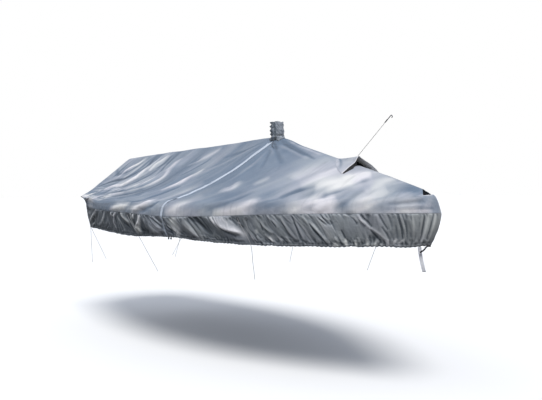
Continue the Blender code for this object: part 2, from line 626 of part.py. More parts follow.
def lift_line():
    """A taut cord from the apex of the hood, and the snap hook at its upper end."""
    seat = np.array([GAP, 0, CLOTH / 2 + GAP + LIFT_CORD / 2])
    apex = hood_point(np.array([0.97]), np.zeros(1))[0] + seat
    along = unit(LIFT_TOP - apex)
    up = np.cross((0, 1, 0), along)
    eye = LIFT_TOP - along * LIFT_HOOK_LENGTH
    cord("vent_lift_line", [apex + (eye - apex) * t for t in np.linspace(0, 1, 8)], LIFT_CORD, LIGHT_CORD)
    reach = LIFT_HOOK_LENGTH - 0.012         # the shank's length, short of the bend
    centre = eye + along * reach + up * LIFT_HOOK_BEND
    shank = [eye + along * (GAP + reach * t) for t in np.linspace(0, 0.97, 4)]
    hook = [centre + (along * np.cos(turn) + up * np.sin(turn)) * LIFT_HOOK_BEND
            for turn in np.linspace(-0.5 * math.pi, 0.6 * math.pi, 7)]
    cord("vent_lift_hook", shank + hook, LIFT_HOOK_WIRE, RING_METAL)


# ---------------------------------------------------------------- ties
TIE_CORD = 0.0035
TIE_STAND_OFF = 0.003        # how far a taut tie stands off the skirt between ring and hem
RING_RADIUS, RING_WIRE = 0.011, 0.003
RING_AIR = 0.0001            # between a tie and its ring, over what the facets leave
TIE_COLUMNS = ("name", "ring_girth", "ring_w", "hem_girth", "end_x", "end_y", "end_z", "air")
TIES = (                     # `air` is the gap from the skirt's middle facet to the ring
    ("stern_outer", 4.70, 0.12, 4.74, -2.770, 0.500, -1.215, 0.0004),
    ("stern_inner", 4.60, 0.12, 4.66, -2.640, 0.395, -1.180, 0.0006),
    ("aft", 3.02, 0.10, 2.89, -0.800, 0.700, -1.120, 0.0014),
    ("mid", 1.52, 0.10, 1.44, 0.485, 0.550, -1.070, 0.0012),
)
SPARE_RING = (1.44, 0.12, 0.0012)


def on_skirt(g, w, side, height):
    """A place `height` off the skirt's cloth, and the way out from it."""
    u = rib_at_girth(g)
    here = skirt_point(u, w, side)
    ahead = skirt_point(u + 0.02, w, side)
    lower = skirt_point(u, w + 0.02, side)
    out = unit(np.cross(ahead - here, lower - here))
    out = out * np.sign(out[1] * side)
    return here + out * height, out


def tie_ring(name, g, w, air, side):
    centre, out = on_skirt(g, w, side, CLOTH / 2 + air + RING_WIRE / 2)
    ring(name, centre, out, RING_RADIUS, RING_WIRE, RING_METAL)


def ties():
    for label, side in SIDES.items():
        tie_ring(f"tie_ring_spare_{label}", *SPARE_RING, side)
        for row in TIES:
            tie = dict(zip(TIE_COLUMNS, row))
            tie_ring(f"tie_ring_{tie['name']}_{label}", tie["ring_girth"], tie["ring_w"], tie["air"], side)
            lift = CLOTH / 2 + tie["air"] + RING_WIRE + TIE_CORD / 2 + RING_AIR
            start, _ = on_skirt(tie["ring_girth"], tie["ring_w"], side, lift)
            hem, _ = on_skirt(tie["hem_girth"], 1.0, side, lift)
            middle, _ = on_skirt((tie["ring_girth"] + tie["hem_girth"]) / 2, 0.5, side, lift + TIE_STAND_OFF)
            end = np.array([tie["end_x"], side * tie["end_y"], tie["end_z"]])
            route = [start, middle, hem, hem * 0.5 + end * 0.5, end]
            cord(f"tie_{tie['name']}_{label}", smooth_route(route, 9), TIE_CORD, LIGHT_CORD)


# ---------------------------------------------------------------- bow strap and hook
STRAP_WIDTH = 0.024
STRAP_U = 9.35               # the strap hangs inside the hem here
STRAP_FALL = ((0, 0), (-0.020, 0.0005), (-0.060, 0.003), (-0.105, 0.002), (-0.165, -0.004))   # (z, sway)
HOOK_CORD = 0.005
HOOK_DROP = 0.030            # the hook's end reaches the strap this far below the hem


def bow_fittings():
    """The strap end that hangs inside the foot of the stem, and the hooked cord beside it."""
    hem, out = on_skirt(girth(STRAP_U), 1.0, STARBOARD, 0)
    root = hem + SEAM_DROP - np.array([0, 0, CLOTH])
    across = unit(np.cross(out, (0, 0, 1)))
    rows = []
    for drop, sway in STRAP_FALL:
        tuck = 0.12 * min(-drop, 0.02)
        middle = root + np.array([0, 0, drop]) - out * tuck + across * sway
        rows.append([middle - across * STRAP_WIDTH / 2, middle, middle + across * STRAP_WIDTH / 2])
    sheet("bow_strap", np.array(rows), WHITE_WEBBING, WEBBING)
    tip = skirt_point(STEM, 1.0, STARBOARD) + np.array([0.006, 0, -GAP - HOOK_CORD / 2 - 0.001])
    clear = CLOTH + 3 * GAP + HOOK_CORD / 2 + 0.001
    end = root + out * clear + np.array([0.004, 0, -HOOK_DROP])
    route = [tip, tip + np.array([-0.022, -0.012, -0.004]),
             tip * 0.45 + end * 0.55 + np.array([0, -0.008, -0.002]), end]
    cord("bow_hook", smooth_route(route, 9), HOOK_CORD, DARK_CORD)


top_panels()
stern_panel()
skirt_strips()
stern_skirt()
closure_tapes()
closure_toggles()
mast_sleeve()
collar_lashing()
vent()
lift_line()
ties()
bow_fittings()
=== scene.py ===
"""Looks of the mast-up dinghy cover: fine cloth, cords, trims, finishes, lights and camera.

Metres, in the frame's own axes: +X to the bow, +Y to port, +Z up, and the origin on the
centreline at the mast's axis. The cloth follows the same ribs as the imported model, on much
finer grids, with the creases that are too small for it added along the cloth's normals.
"""
import math

import bmesh
import bpy
import numpy as np
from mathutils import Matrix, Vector


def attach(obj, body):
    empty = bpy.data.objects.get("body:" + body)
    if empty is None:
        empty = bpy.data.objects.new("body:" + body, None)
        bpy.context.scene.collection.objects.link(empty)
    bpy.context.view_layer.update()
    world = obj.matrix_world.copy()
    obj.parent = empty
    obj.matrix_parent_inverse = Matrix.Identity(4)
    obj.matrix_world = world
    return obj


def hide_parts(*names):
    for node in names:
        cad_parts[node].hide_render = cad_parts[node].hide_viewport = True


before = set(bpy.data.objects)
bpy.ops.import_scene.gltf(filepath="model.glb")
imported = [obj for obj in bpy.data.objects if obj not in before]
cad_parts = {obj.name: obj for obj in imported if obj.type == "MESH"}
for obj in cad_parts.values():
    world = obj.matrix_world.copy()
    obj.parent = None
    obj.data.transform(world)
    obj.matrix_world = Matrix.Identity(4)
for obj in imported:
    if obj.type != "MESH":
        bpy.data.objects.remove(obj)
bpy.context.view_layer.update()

# ---------------------------------------------------------------- camera
CAMERA_PLACE = (5.363, -3.773, -0.345)
CAMERA_TILT = math.radians(88.657)       # from straight down
CAMERA_TURN = 0.9666
LENS, SENSOR = 52.73, 36.0


def add_camera():
    data = bpy.data.cameras.new("camera")
    data.lens, data.sensor_width = LENS, SENSOR
    data.clip_end = 200
    made = bpy.data.objects.new("camera", data)
    made.location = CAMERA_PLACE
    made.rotation_euler = (CAMERA_TILT, 0, CAMERA_TURN)
    bpy.context.collection.objects.link(made)
    bpy.context.scene.camera = made


# ---------------------------------------------------------------- driving sizes
CLOTH, THIN_CLOTH = 0.002, 0.0014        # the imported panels' thickness, and the real cloth's
WEBBING = 0.0012
GAP = 0.0006
UPPER_TAPE, LOWER_TAPE = 0.050, 0.028
TAPE_START_V, TAPE_PARTING_V = 0.095, 0.014
TAPE_BEND = 0.020            # how far forward the upper tape bends beside the sleeve
TAPE_BEND_V, TAPE_BEND_REACH = 0.13, 0.06
RIDGE_RADIUS = 0.030
TIE_PINCH = 0.080
PORT, STARBOARD = 1, -1
STROKE_END = 0.5             # how soon a stroke fades out towards its ends
FAN_RISE, FAN_START = 0.295, 0.26        # where the after top's fold lines leave the transom, as v
FORE_LEAN = 0.70             # how far the fore top's streaks lean forward, as ribs per v
SIDES = {"starboard": STARBOARD, "port": PORT}

COLUMNS = ("ridge_x", "ridge_z", "edge_x", "edge_y", "edge_z", "sag",
           "seam_x", "seam_y", "seam_z", "hem_x", "hem_y", "hem_z")
RIBS = (
    (-2.865, -0.090, -2.790, 0.622, -0.515, 0.12, -2.735, 0.580, -0.600, -2.700, 0.545, -0.832),
    (-2.200, -0.060, -2.220, 0.715, -0.518, 0.30, -2.200, 0.735, -0.612, -2.180, 0.690, -0.816),
    (-1.450, -0.034, -1.600, 0.790, -0.518, 0.42, -1.600, 0.838, -0.618, -1.600, 0.785, -0.819),
    (-0.700, -0.008, -1.000, 0.825, -0.512, 0.50, -1.000, 0.888, -0.616, -1.000, 0.830, -0.819),
    (0.000, 0.016, -0.385, 0.795, -0.500, 0.53, -0.390, 0.876, -0.626, -0.380, 0.815, -0.792),
    (0.360, -0.072, 0.120, 0.735, -0.488, 0.30, 0.120, 0.790, -0.610, 0.120, 0.735, -0.805),
    (0.750, -0.168, 0.620, 0.590, -0.476, 0.00, 0.620, 0.636, -0.585, 0.620, 0.590, -0.805),
    (1.050, -0.242, 1.020, 0.415, -0.463, -0.30, 1.020, 0.464, -0.568, 1.010, 0.425, -0.795),
    (1.360, -0.321, 1.410, 0.205, -0.448, -0.25, 1.420, 0.250, -0.557, 1.380, 0.225, -0.780),
    (1.600, -0.384, 1.650, 0.070, -0.436, -0.10, 1.690, 0.085, -0.551, 1.620, 0.075, -0.775),
    (1.700, -0.410, 1.735, 0.000, -0.430, 0.00, 1.812, 0.000, -0.548, 1.715, 0.000, -0.757),
)
STERN, MAST, STEM = 0.0, 4.0, 10.0
READ_STEP = 0.02             # how far apart the surface is read to find its run and its way out

FOLD_START_V, FOLD_AT_RIDGE = 0.25, 0.15      # folds run out towards the ridge, over the boom
TOP_FOLD_COLUMNS = ("start_x", "start_y", "bend_x", "bend_y", "end_x", "end_y", "half_width", "height")
TOP_FOLDS = (
    (-2.73, 0.50, -1.98, 0.42, -2.10, 0.04, 0.070, -0.016),
    (-2.70, 0.57, -1.98, 0.50, -1.90, 0.04, 0.080, 0.016),
    (-2.60, 0.61, -1.72, 0.62, -1.66, 0.03, 0.080, -0.016),
    (-2.35, 0.67, -1.42, 0.70, -1.36, 0.05, 0.100, 0.014),
    (-2.00, 0.75, -1.10, 0.82, -1.12, 0.05, 0.100, -0.014),
    (-1.40, 0.84, -0.66, 0.88, -0.64, 0.12, 0.110, 0.012),
)
SKIRT_FOLD_COLUMNS = ("top", "foot", "half_width", "height")
SKIRT_FOLDS = (
    (0.05, 0.045, 0.035, 0.010), (0.22, 0.20, 0.060, 0.008), (0.41, 0.33, 0.045, 0.012),
    (0.58, 0.50, 0.045, 0.012), (0.69, 0.60, 0.045, 0.014), (0.83, 0.70, 0.050, 0.016),
    (0.97, 0.82, 0.050, 0.016), (1.10, 0.97, 0.050, 0.014), (1.24, 1.12, 0.050, 0.012),
    (1.72, 1.44, 0.120, 0.030), (2.10, 1.98, 0.070, 0.012), (2.32, 2.36, 0.050, 0.014),
    (2.55, 2.42, 0.050, 0.014), (2.75, 2.52, 0.060, 0.014), (3.02, 2.88, 0.070, 0.022),
    (3.45, 3.30, 0.070, 0.010), (3.80, 3.70, 0.070, 0.010), (4.30, 4.42, 0.090, 0.010),
)
TIE_COLUMNS = ("name", "ring_girth", "ring_w", "hem_girth", "end_x", "end_y", "end_z", "air")
TIES = (
    ("stern_outer", 4.70, 0.12, 4.74, -2.770, 0.500, -1.215, 0.0004),
    ("stern_inner", 4.60, 0.12, 4.66, -2.640, 0.395, -1.180, 0.0006),
    ("aft", 3.02, 0.10, 2.89, -0.800, 0.700, -1.120, 0.0014),
    ("mid", 1.52, 0.10, 1.44, 0.485, 0.550, -1.070, 0.0012),
)
SPARE_RING = (1.44, 0.12, 0.0012)

# ---------------------------------------------------------------- creases of the cloth
# A stroke is a soft line over the cloth: its width at both ends and its height (of a patch of painted light:
# how much lighter it is, in hundredths, below 0 painted shade), then its places. Widths and heights are in
# millimetres.
# On the top a place is (u, v), on the skirt it is (metres from the stem, w).
STROKE_COLUMNS = ("start_width", "end_width", "size")
TOP_CREASES = (
    # the after top: pleats gather at the stern corner and open out towards the boom
    (16, 30, -15, .10, .72, .27, .64, .50, .56, .82, .50, 1.00, .43, 1.12, .30, 1.15, .20, 1.07, .04),
    (24, 30, -12, .33, .51, .25, .31, .23, .18, .30, .07),
    (14, 30, 13, .75, .79, .95, .70, 1.22, .64, 1.35, .52, 1.40, .36, 1.42, .24, 1.32, .08),
    (24, 34, 10, .63, .54, .57, .36, .67, .26, .77, .19, .77, .07),
    (12, 26, -14, 1.00, 1.02, 1.28, .85, 1.68, .81, 1.90, .74, 2.00, .58, 2.00, .44, 1.84, .28, 1.73, .06),
    (12, 28, 13, 1.17, .96, 1.37, .90, 1.67, .86, 1.95, .79, 2.22, .66, 2.32, .50, 2.22, .36, 2.13, .18),
    (12, 24, -12, 1.28, .98, 1.67, .91, 1.98, .84, 2.25, .75, 2.46, .62, 2.54, .46),
    (14, 26, -9, 2.30, .99, 2.62, .93, 2.66, .80, 2.72, .68, 2.80, .52),
    (14, 26, 13, 3.05, .78, 3.10, .70, 3.15, .62, 3.17, .50, 3.20, .38),
    (18, 26, -9, 3.17, .95, 3.20, .86, 3.23, .78, 3.34, .66),
    (20, 30, 9, 1.52, .36, 1.50, .26, 1.53, .18, 1.53, .07),
    (24, 34, 9, 2.50, .28, 2.73, .24, 2.87, .19, 2.90, .09),
    (18, 26, -9, 2.77, .46, 2.85, .39, 2.92, .31, 3.00, .22),
    (16, 34, -8, 1.62, .30, 1.66, .20, 1.62, .08),
    (30, 46, -7, .03, .30, .40, .42, .72, .36, .86, .16),
    (34, 50, -8, 2.72, 1.45, 3.10, 1.20, 3.24, .86, 3.26, .52),
    (26, 40, 15, 3.12, 1.94, 3.37, 1.60, 3.52, 1.22, 3.50, .93),
    (20, 34, -10, 3.34, 1.96, 3.60, 1.66, 3.74, 1.30, 3.70, 1.00),
    (20, 30, 11, 2.20, 1.95, 2.60, 1.80, 2.94, 1.63),
    # thin pleats that run into the stern corner
    (9, 16, 7, .00, 1.05, .20, .98, .40, .90, .75, .80),
    (9, 14, -8, .00, 1.33, .20, 1.20, .40, 1.02, .62, .93, .80, .84),
    (10, 16, 8, .00, 1.55, .20, 1.42, .36, 1.18, .55, 1.02, .85, .93, 1.15, .91),
    (9, 14, -8, .30, 1.60, .60, 1.35, .95, 1.08, 1.30, .93, 1.45, .86),
    (20, 30, 8, .45, 1.16, .75, 1.22, 1.10, 1.16),
    # around the mast: the cloth is pulled up to the sleeve
    (12, 40, 6, 3.80, .10, 3.50, .30, 3.10, .62),
    (10, 30, -6, 3.86, .06, 3.60, .16, 3.25, .24),
    (8, 16, -12, 4.20, .035, 4.40, .05, 4.75, .06, 5.05, .075, 5.45, .11, 5.70, .14),
    (10, 18, 8, 4.30, .10, 4.62, .10, 5.00, .11, 5.55, .16),
    (10, 24, -7, 4.22, .10, 4.45, .15, 4.80, .21, 5.17, .29),
    (10, 24, -6, 4.16, .12, 4.46, .23, 4.78, .38),
    (6, 8, -10, 4.05, .07, 4.23, .10, 4.47, .14),
    (8, 10, 9, 4.10, .13, 4.28, .15, 4.50, .19),
    (10, 30, 6, 4.18, .11, 4.34, .30, 4.44, .60),
    # the fore top
    (24, 36, 4, 5.20, 1.97, 5.50, 1.83, 5.74, 1.60, 5.88, 1.25, 5.95, .96),
    (22, 30, -4, 5.04, 1.80, 5.37, 1.49, 5.55, .98, 5.60, .82),
    (24, 36, 6, 7.10, 1.97, 7.25, 1.62, 7.37, 1.06),
    (22, 30, -5, 7.40, 1.90, 7.55, 1.44, 7.63, .95, 7.74, .78),
    (22, 30, -5, 6.32, .98, 6.45, .86, 6.58, .78, 6.76, .69),
    (22, 30, -5, 7.05, 1.01, 7.20, .90, 7.38, .80, 7.48, .59, 7.56, .34),
    (20, 26, 5, 7.18, .98, 7.35, .88, 7.45, .71, 7.58, .49),
    (16, 20, 4, 4.75, .78, 4.84, .70, 4.78, .59),
    (26, 36, 4, 7.78, 1.50, 7.86, 1.20, 7.98, .90, 8.16, .68),
    (12, 20, -5, 8.30, 1.62, 8.80, 1.58, 9.30, 1.52),
    (10, 16, 4, 8.50, 1.78, 9.00, 1.76, 9.40, 1.72),
    (22, 30, 4, 8.40, .90, 8.90, .94, 9.30, 1.00),
)
# Painted light on the top cloth: patches of dappled sunlight and highlights, and painted shade between
# patches and in creases.
TOP_PAINTED_LIGHT = (
    # aft
    (36, 49, 60, .75, .79, .95, .70, 1.22, .64, 1.34, .54, 1.40, .40, 1.40, .28),
    (44, 50, 60, .62, .50, .57, .36, .67, .26, .77, .19, .87, .10),
    (28, 40, 77, 1.10, .97, 1.37, .90, 1.67, .86, 1.90, .79),
    (42, 46, 47, 2.20, .68, 2.30, .58, 2.32, .49, 2.23, .38),
    (36, 44, 85, 2.18, .41, 2.13, .30, 2.07, .20),
    (31, 40, 82, 3.08, .77, 3.12, .67, 3.17, .58, 3.15, .48),
    (28, 32, 43, 3.15, .50, 3.23, .46, 3.18, .38),
    (36, 40, 50, 1.50, .36, 1.50, .26, 1.55, .08),
    (44, 50, 65, 2.66, .22, 2.83, .15, 2.90, .07),
    (34, 32, 47, 2.18, 1.95, 2.60, 1.81, 2.95, 1.63),
    (42, 46, 82, 3.08, 1.96, 3.37, 1.58, 3.52, 1.21, 3.50, .94),
    (60, 70, 40, 3.72, 1.09, 3.70, .85, 3.76, .60),
    (22, 30, 73, .05, 1.00, .24, .95, .48, .92),
    (44, 50, 45, .42, 1.10, .75, 1.20, 1.12, 1.14),
    (10, 12, 90, .00, 1.11, .32, .94, .55, .85, .62, .74),
    (10, 16, 90, .00, 1.66, .32, 1.38, .70, 1.28, .98, 1.20, 1.18, .94),
    (9, 12, 60, 1.10, 1.20, 1.25, 1.14, 1.47, .95, 1.67, .90),
    (17, 22, 52, .52, .66, .80, .50, .94, .34, .94, .14),
    (10, 14, 50, .90, .60, 1.14, .50, 1.22, .38, 1.20, .20),
    (20, 27, 52, 1.62, .70, 1.76, .58, 1.80, .42, 1.72, .22),
    (17, 27, 43, 1.88, .70, 2.06, .60, 2.12, .50),
    (12, 16, -45, .62, .62, .92, .44, 1.04, .28, 1.02, .08),
    (12, 16, -45, 1.02, .92, 1.30, .78, 1.60, .70, 1.72, .52),
    (12, 16, -40, 1.30, .92, 1.70, .86, 2.02, .76),
    (14, 18, -40, 2.34, .84, 2.46, .70, 2.52, .54),
    (30, 30, -35, 2.03, .92, 2.50, .96, 2.66, .83),
    (34, 34, -30, .35, .50, .25, .31, .25, .14),
    (60, 60, -30, 3.08, 1.06, 3.10, 1.34),
    # fore
    (40, 36, 50, 4.72, .78, 4.97, .76, 4.92, .69, 4.80, .60),
    (60, 70, 36, 4.22, 1.92, 4.43, 1.45, 4.52, 1.00, 4.50, .86),
    (38, 46, 90, 5.20, 1.97, 5.50, 1.83, 5.74, 1.60, 5.88, 1.25, 5.95, .96),
    (40, 36, 40, 5.30, .68, 5.40, .53),
    (80, 90, 40, 5.95, .56, 5.93, .39, 6.02, .07),
    (80, 90, 50, 6.40, .72, 6.55, .54, 6.62, .38, 6.62, .18),
    (70, 70, 70, 6.76, .76, 6.97, .65, 7.12, .54, 7.25, .41),
    (70, 60, 80, 7.20, .55, 7.30, .32, 7.48, .16),
    (60, 64, 52, 6.62, 1.97, 6.85, 1.71, 7.02, 1.41, 7.17, 1.03),
    (50, 60, 80, 7.08, 1.97, 7.25, 1.62, 7.38, 1.06),
    (60, 70, 44, 7.62, 1.66, 7.82, 1.28, 7.97, .92, 8.16, .68),
    (40, 46, 34, 7.78, .68, 7.95, .33, 8.10, .04),
    (80, 80, 26, 8.20, 1.68, 8.58, 1.40, 9.00, 1.30),
    (44, 50, 46, 7.12, .88, 7.30, .68, 7.50, .48),
    (34, 34, -30, 6.34, .97, 6.45, .84, 6.58, .78, 6.74, .70),
    (36, 36, -34, 7.05, 1.02, 7.20, .90, 7.38, .80, 7.48, .59, 7.56, .34),
    (40, 36, -18, 7.40, 1.90, 7.55, 1.44, 7.63, .95, 7.74, .78),
    (36, 36, -20, 6.70, 1.02, 6.85, .88, 7.00, .72),
    (50, 60, -8, 5.95, 1.92, 6.30, 1.55, 6.46, .94),
    (50, 70, -18, 8.30, .90, 8.70, .50, 9.10, .20),
    (40, 44, 44, 4.10, 1.97, 4.24, 1.78, 4.45, 1.52),
    (14, 9, 60, 8.48, 1.915, 8.90, 1.915, 9.60, 1.94),
    (8, 5, -35, 8.20, 1.83, 8.70, 1.81, 9.20, 1.83, 9.70, 1.86),
    (10, 14, 120, 9.30, 1.045, 9.60, 1.055, 10.0, 1.07),
    (5, 8, -110, 4.24, .055, 4.50, .070, 4.75, .080, 5.05, .095, 5.36, .125),
    (8, 12, 45, 4.30, .018, 4.75, .025, 5.20, .030, 5.70, .05),
    (8, 10, -70, 4.02, .06, 4.23, .10, 4.47, .14),
    (12, 8, -60, 3.88, .12, 3.80, .22, 3.78, .34),
    # the folds at the stern corner: painted highlights on their crests, painted shade in their hollows
    (9, 14, 70, 1.12, .96, 1.13, .86, 1.14, .78, 1.30, .71, 1.60, .68),
    (8, 10, -110, .50, 1.26, .90, 1.10, 1.00, .96, 1.00, .86, 1.02, .76, 1.12, .69),
    (9, 12, -90, 1.15, .98, 1.23, .95, 1.43, .89, 1.58, .83, 1.80, .75),
    (8, 9, -80, .30, 1.05, .55, .97, .74, .86, .80, .74),
    (40, 44, -35, 1.10, 1.64, 1.80, 1.62, 2.50, 1.52),
    (16, 20, 60, 2.32, 1.84, 2.75, 1.69, 3.03, 1.45),
    (14, 16, 60, 2.95, 1.82, 3.22, 1.68, 3.36, 1.52),
)
SKIRT_CREASES = (
    # fore
    (8, 8, 10, .97, .05, .93, .20, .87, .45, .80, .80, .77, .92),
    (5, 5, 5, .86, .05, .82, .16, .78, .28),
    (4, 5, 4, .82, .05, .76, .22),
    (6, 7, 8, .75, .33, .71, .60, .67, .85, .64, .95),
    (6, 6, 7, .66, .03, .60, .10, .56, .25),
    (6, 7, 8, .56, .03, .53, .22, .47, .42),
    (7, 8, 6, .50, .38, .42, .55, .36, .75, .33, .92),
    (5, 6, 6, .27, .02, .25, .25, .22, .55, .19, .88),
    (4, 5, 4, .19, .00, .17, .40, .15, .80),
    (4, 5, 4, .12, .05, .12, .40, .10, .85),
    (6, 6, 7, 1.04, .04, 1.02, .30, .99, .60, .96, .88),
    (6, 7, 7, 1.15, .02, 1.12, .25, 1.08, .55, 1.02, .84),
    (5, 6, 6, 1.25, .05, 1.20, .25, 1.17, .44),
    (6, 8, 7, 1.34, .08, 1.30, .35, 1.22, .62),
    (6, 8, 7, 1.47, .08, 1.44, .50, 1.40, .88),
    (6, 6, 6, 1.30, .62, 1.26, .78, 1.22, .94),
    (5, 5, 5, 1.12, .68, 1.08, .92),
    (6, 5, 5, .82, .68, .80, .80, .79, .94),
    (6, 5, 6, .73, .70, .71, .82, .69, .95),
    (6, 5, 5, 1.37, .68, 1.35, .94),
    (6, 5, 5, 1.44, .72, 1.42, .94),
    (6, 5, 5, .56, .70, .53, .94),
    (16, 14, -7, .48, .72, .41, .82),
    # the swag ahead of the closure
    (20, 16, 18, 1.79, .00, 1.74, .20, 1.68, .38, 1.60, .50, 1.51, .58, 1.44, .63),
    (14, 10, -9, 1.70, .50, 1.60, .63, 1.50, .69),
    (8, 6, -7, 1.60, .08, 1.56, .22, 1.53, .36),
    (6, 6, -5, 1.56, .06, 1.53, .16, 1.51, .27),
    (20, 22, -9, 2.05, .03, 1.92, .30, 1.80, .72),
    (24, 28, 9, 2.12, .22, 2.05, .50, 1.97, .80, 1.90, .97),
    (40, 30, 8, 2.22, .02, 2.20, .30, 2.18, .70),
    (6, 7, 8, 2.33, .38, 2.29, .55, 2.25, .72),
    (7, 7, -8, 2.37, .44, 2.32, .60, 2.27, .76),
    (7, 6, -6, 2.38, .58, 2.33, .76, 2.29, .90),
    # aft
    (8, 10, 11, 3.98, .00, 4.10, .20, 4.22, .38, 4.33, .52, 4.42, .72),
    (14, 18, -7, 3.93, .18, 4.08, .42, 4.24, .64, 4.30, .84),
    (8, 12, 8, 3.67, .03, 3.70, .30, 3.76, .45, 3.90, .65, 4.12, .88),
    (7, 6, 9, 3.44, .00, 3.42, .22),
    (7, 8, 11, 3.33, .00, 3.35, .25, 3.37, .52),
    (8, 8, -7, 3.39, .06, 3.41, .30, 3.42, .50),
    (6, 7, 7, 3.28, .16, 3.26, .50, 3.25, .90),
    (18, 14, 11, 3.19, .02, 3.10, .25, 2.99, .42),
    (8, 8, 12, 2.89, .02, 2.91, .14, 2.93, .28),
    (6, 6, 9, 2.99, .16, 2.96, .30, 2.93, .42),
    (10, 8, -9, 2.97, .05, 2.97, .22),
    (12, 10, -12, 2.93, .40, 2.91, .52, 2.90, .66),
    (10, 18, 16, 2.76, .03, 2.79, .30, 2.84, .50, 2.88, .66, 2.93, .90),
    (12, 8, 10, 2.84, .56, 2.80, .90),
    (10, 12, 14, 2.79, .00, 2.81, .30, 2.85, .60, 2.86, .88),
    (6, 7, 10, 2.95, .00, 2.97, .26, 2.94, .60, 2.88, .90),
    (6, 7, 9, 3.30, .00, 3.37, .26, 3.38, .56, 3.36, .78),
    (6, 7, 8, 3.69, .12, 3.74, .64),
    (6, 7, 8, 4.21, .22, 4.22, .68, 4.58, .98),
    (7, 9, 8, 2.69, .03, 2.60, .35, 2.50, .60, 2.42, .80),
    (6, 7, 7, 2.61, .03, 2.52, .38, 2.44, .64),
    (6, 6, 6, 2.53, .02, 2.47, .25, 2.42, .46),
    (30, 26, 8, 2.64, .46, 2.53, .70, 2.46, .88),
    (24, 20, -10, 2.80, .70, 2.68, .92),
    (9, 9, -7, 3.16, .44, 3.04, .66, 3.00, .88),
    (10, 12, 6, 3.60, .34, 3.56, .84),
    (12, 14, 8, 4.78, .30, 4.60, .33, 4.38, .30),
    (14, 16, 10, 4.78, .62, 4.55, .62, 4.34, .55),
    # sharp creases
    (6, 7, -9, .96, .04, .92, .24, .88, .52, .83, .74, .78, .94),
    (4, 4, -6, .83, .00, .79, .22, .75, .36),
    (4, 4, -6, .87, .00, .82, .22, .78, .36),
    (5, 5, -7, .76, .18, .73, .44, .70, .68, .67, .94),
    (6, 6, -6, 1.05, .02, 1.03, .30, 1.01, .62, 1.00, .86),
    (4, 5, -5, 1.34, .00, 1.32, .30, 1.31, .52),
    (4, 5, -6, 1.24, .02, 1.20, .30, 1.18, .42),
    (4, 5, -7, .65, .00, .59, .14, .56, .34),
    (4, 5, -8, .55, .00, .50, .22, .46, .42),
    (5, 5, -6, .68, .48, .65, .74, .61, .98),
    (5, 6, -6, 1.43, .82, 1.37, .90, 1.31, .99),
    (4, 5, -6, 1.28, .78, 1.23, .95),
    (4, 5, -6, 1.16, .70, 1.11, .92),
    (6, 8, -6, .47, .48, .41, .74, .35, .94),
    (4, 5, -5, .41, .02, .38, .26, .34, .50),
    (5, 5, -5, .39, .38, .35, .60, .32, .80),
    (5, 5, -6, .29, .02, .25, .48, .22, .90),
    (5, 5, -6, .25, .02, .22, .42, .19, .86),
    (5, 6, -7, .11, .02, .11, .44, .10, .84),
    (4, 4, -4, .055, .04, .055, .80),
    (4, 5, -5, 2.70, .02, 2.54, .54, 2.44, .78),
    (4, 5, -5, 2.61, .00, 2.49, .30, 2.41, .68),
    (4, 5, -5, 2.52, .00, 2.44, .28, 2.37, .48),
    (4, 5, -6, 2.38, .06, 2.33, .56, 2.29, .94),
    (4, 4, -6, 2.29, .50, 2.27, .90),
    (6, 8, -7, 2.07, .06, 1.99, .56, 1.94, .99),
    (9, 7, -11, 1.77, .00, 1.72, .30, 1.66, .58, 1.55, .73),
    (9, 9, -8, 4.66, .13, 4.30, .18),
    (9, 9, -8, 4.66, .47, 4.40, .46),
    (10, 8, -6, 4.66, .80, 4.46, .78),
)
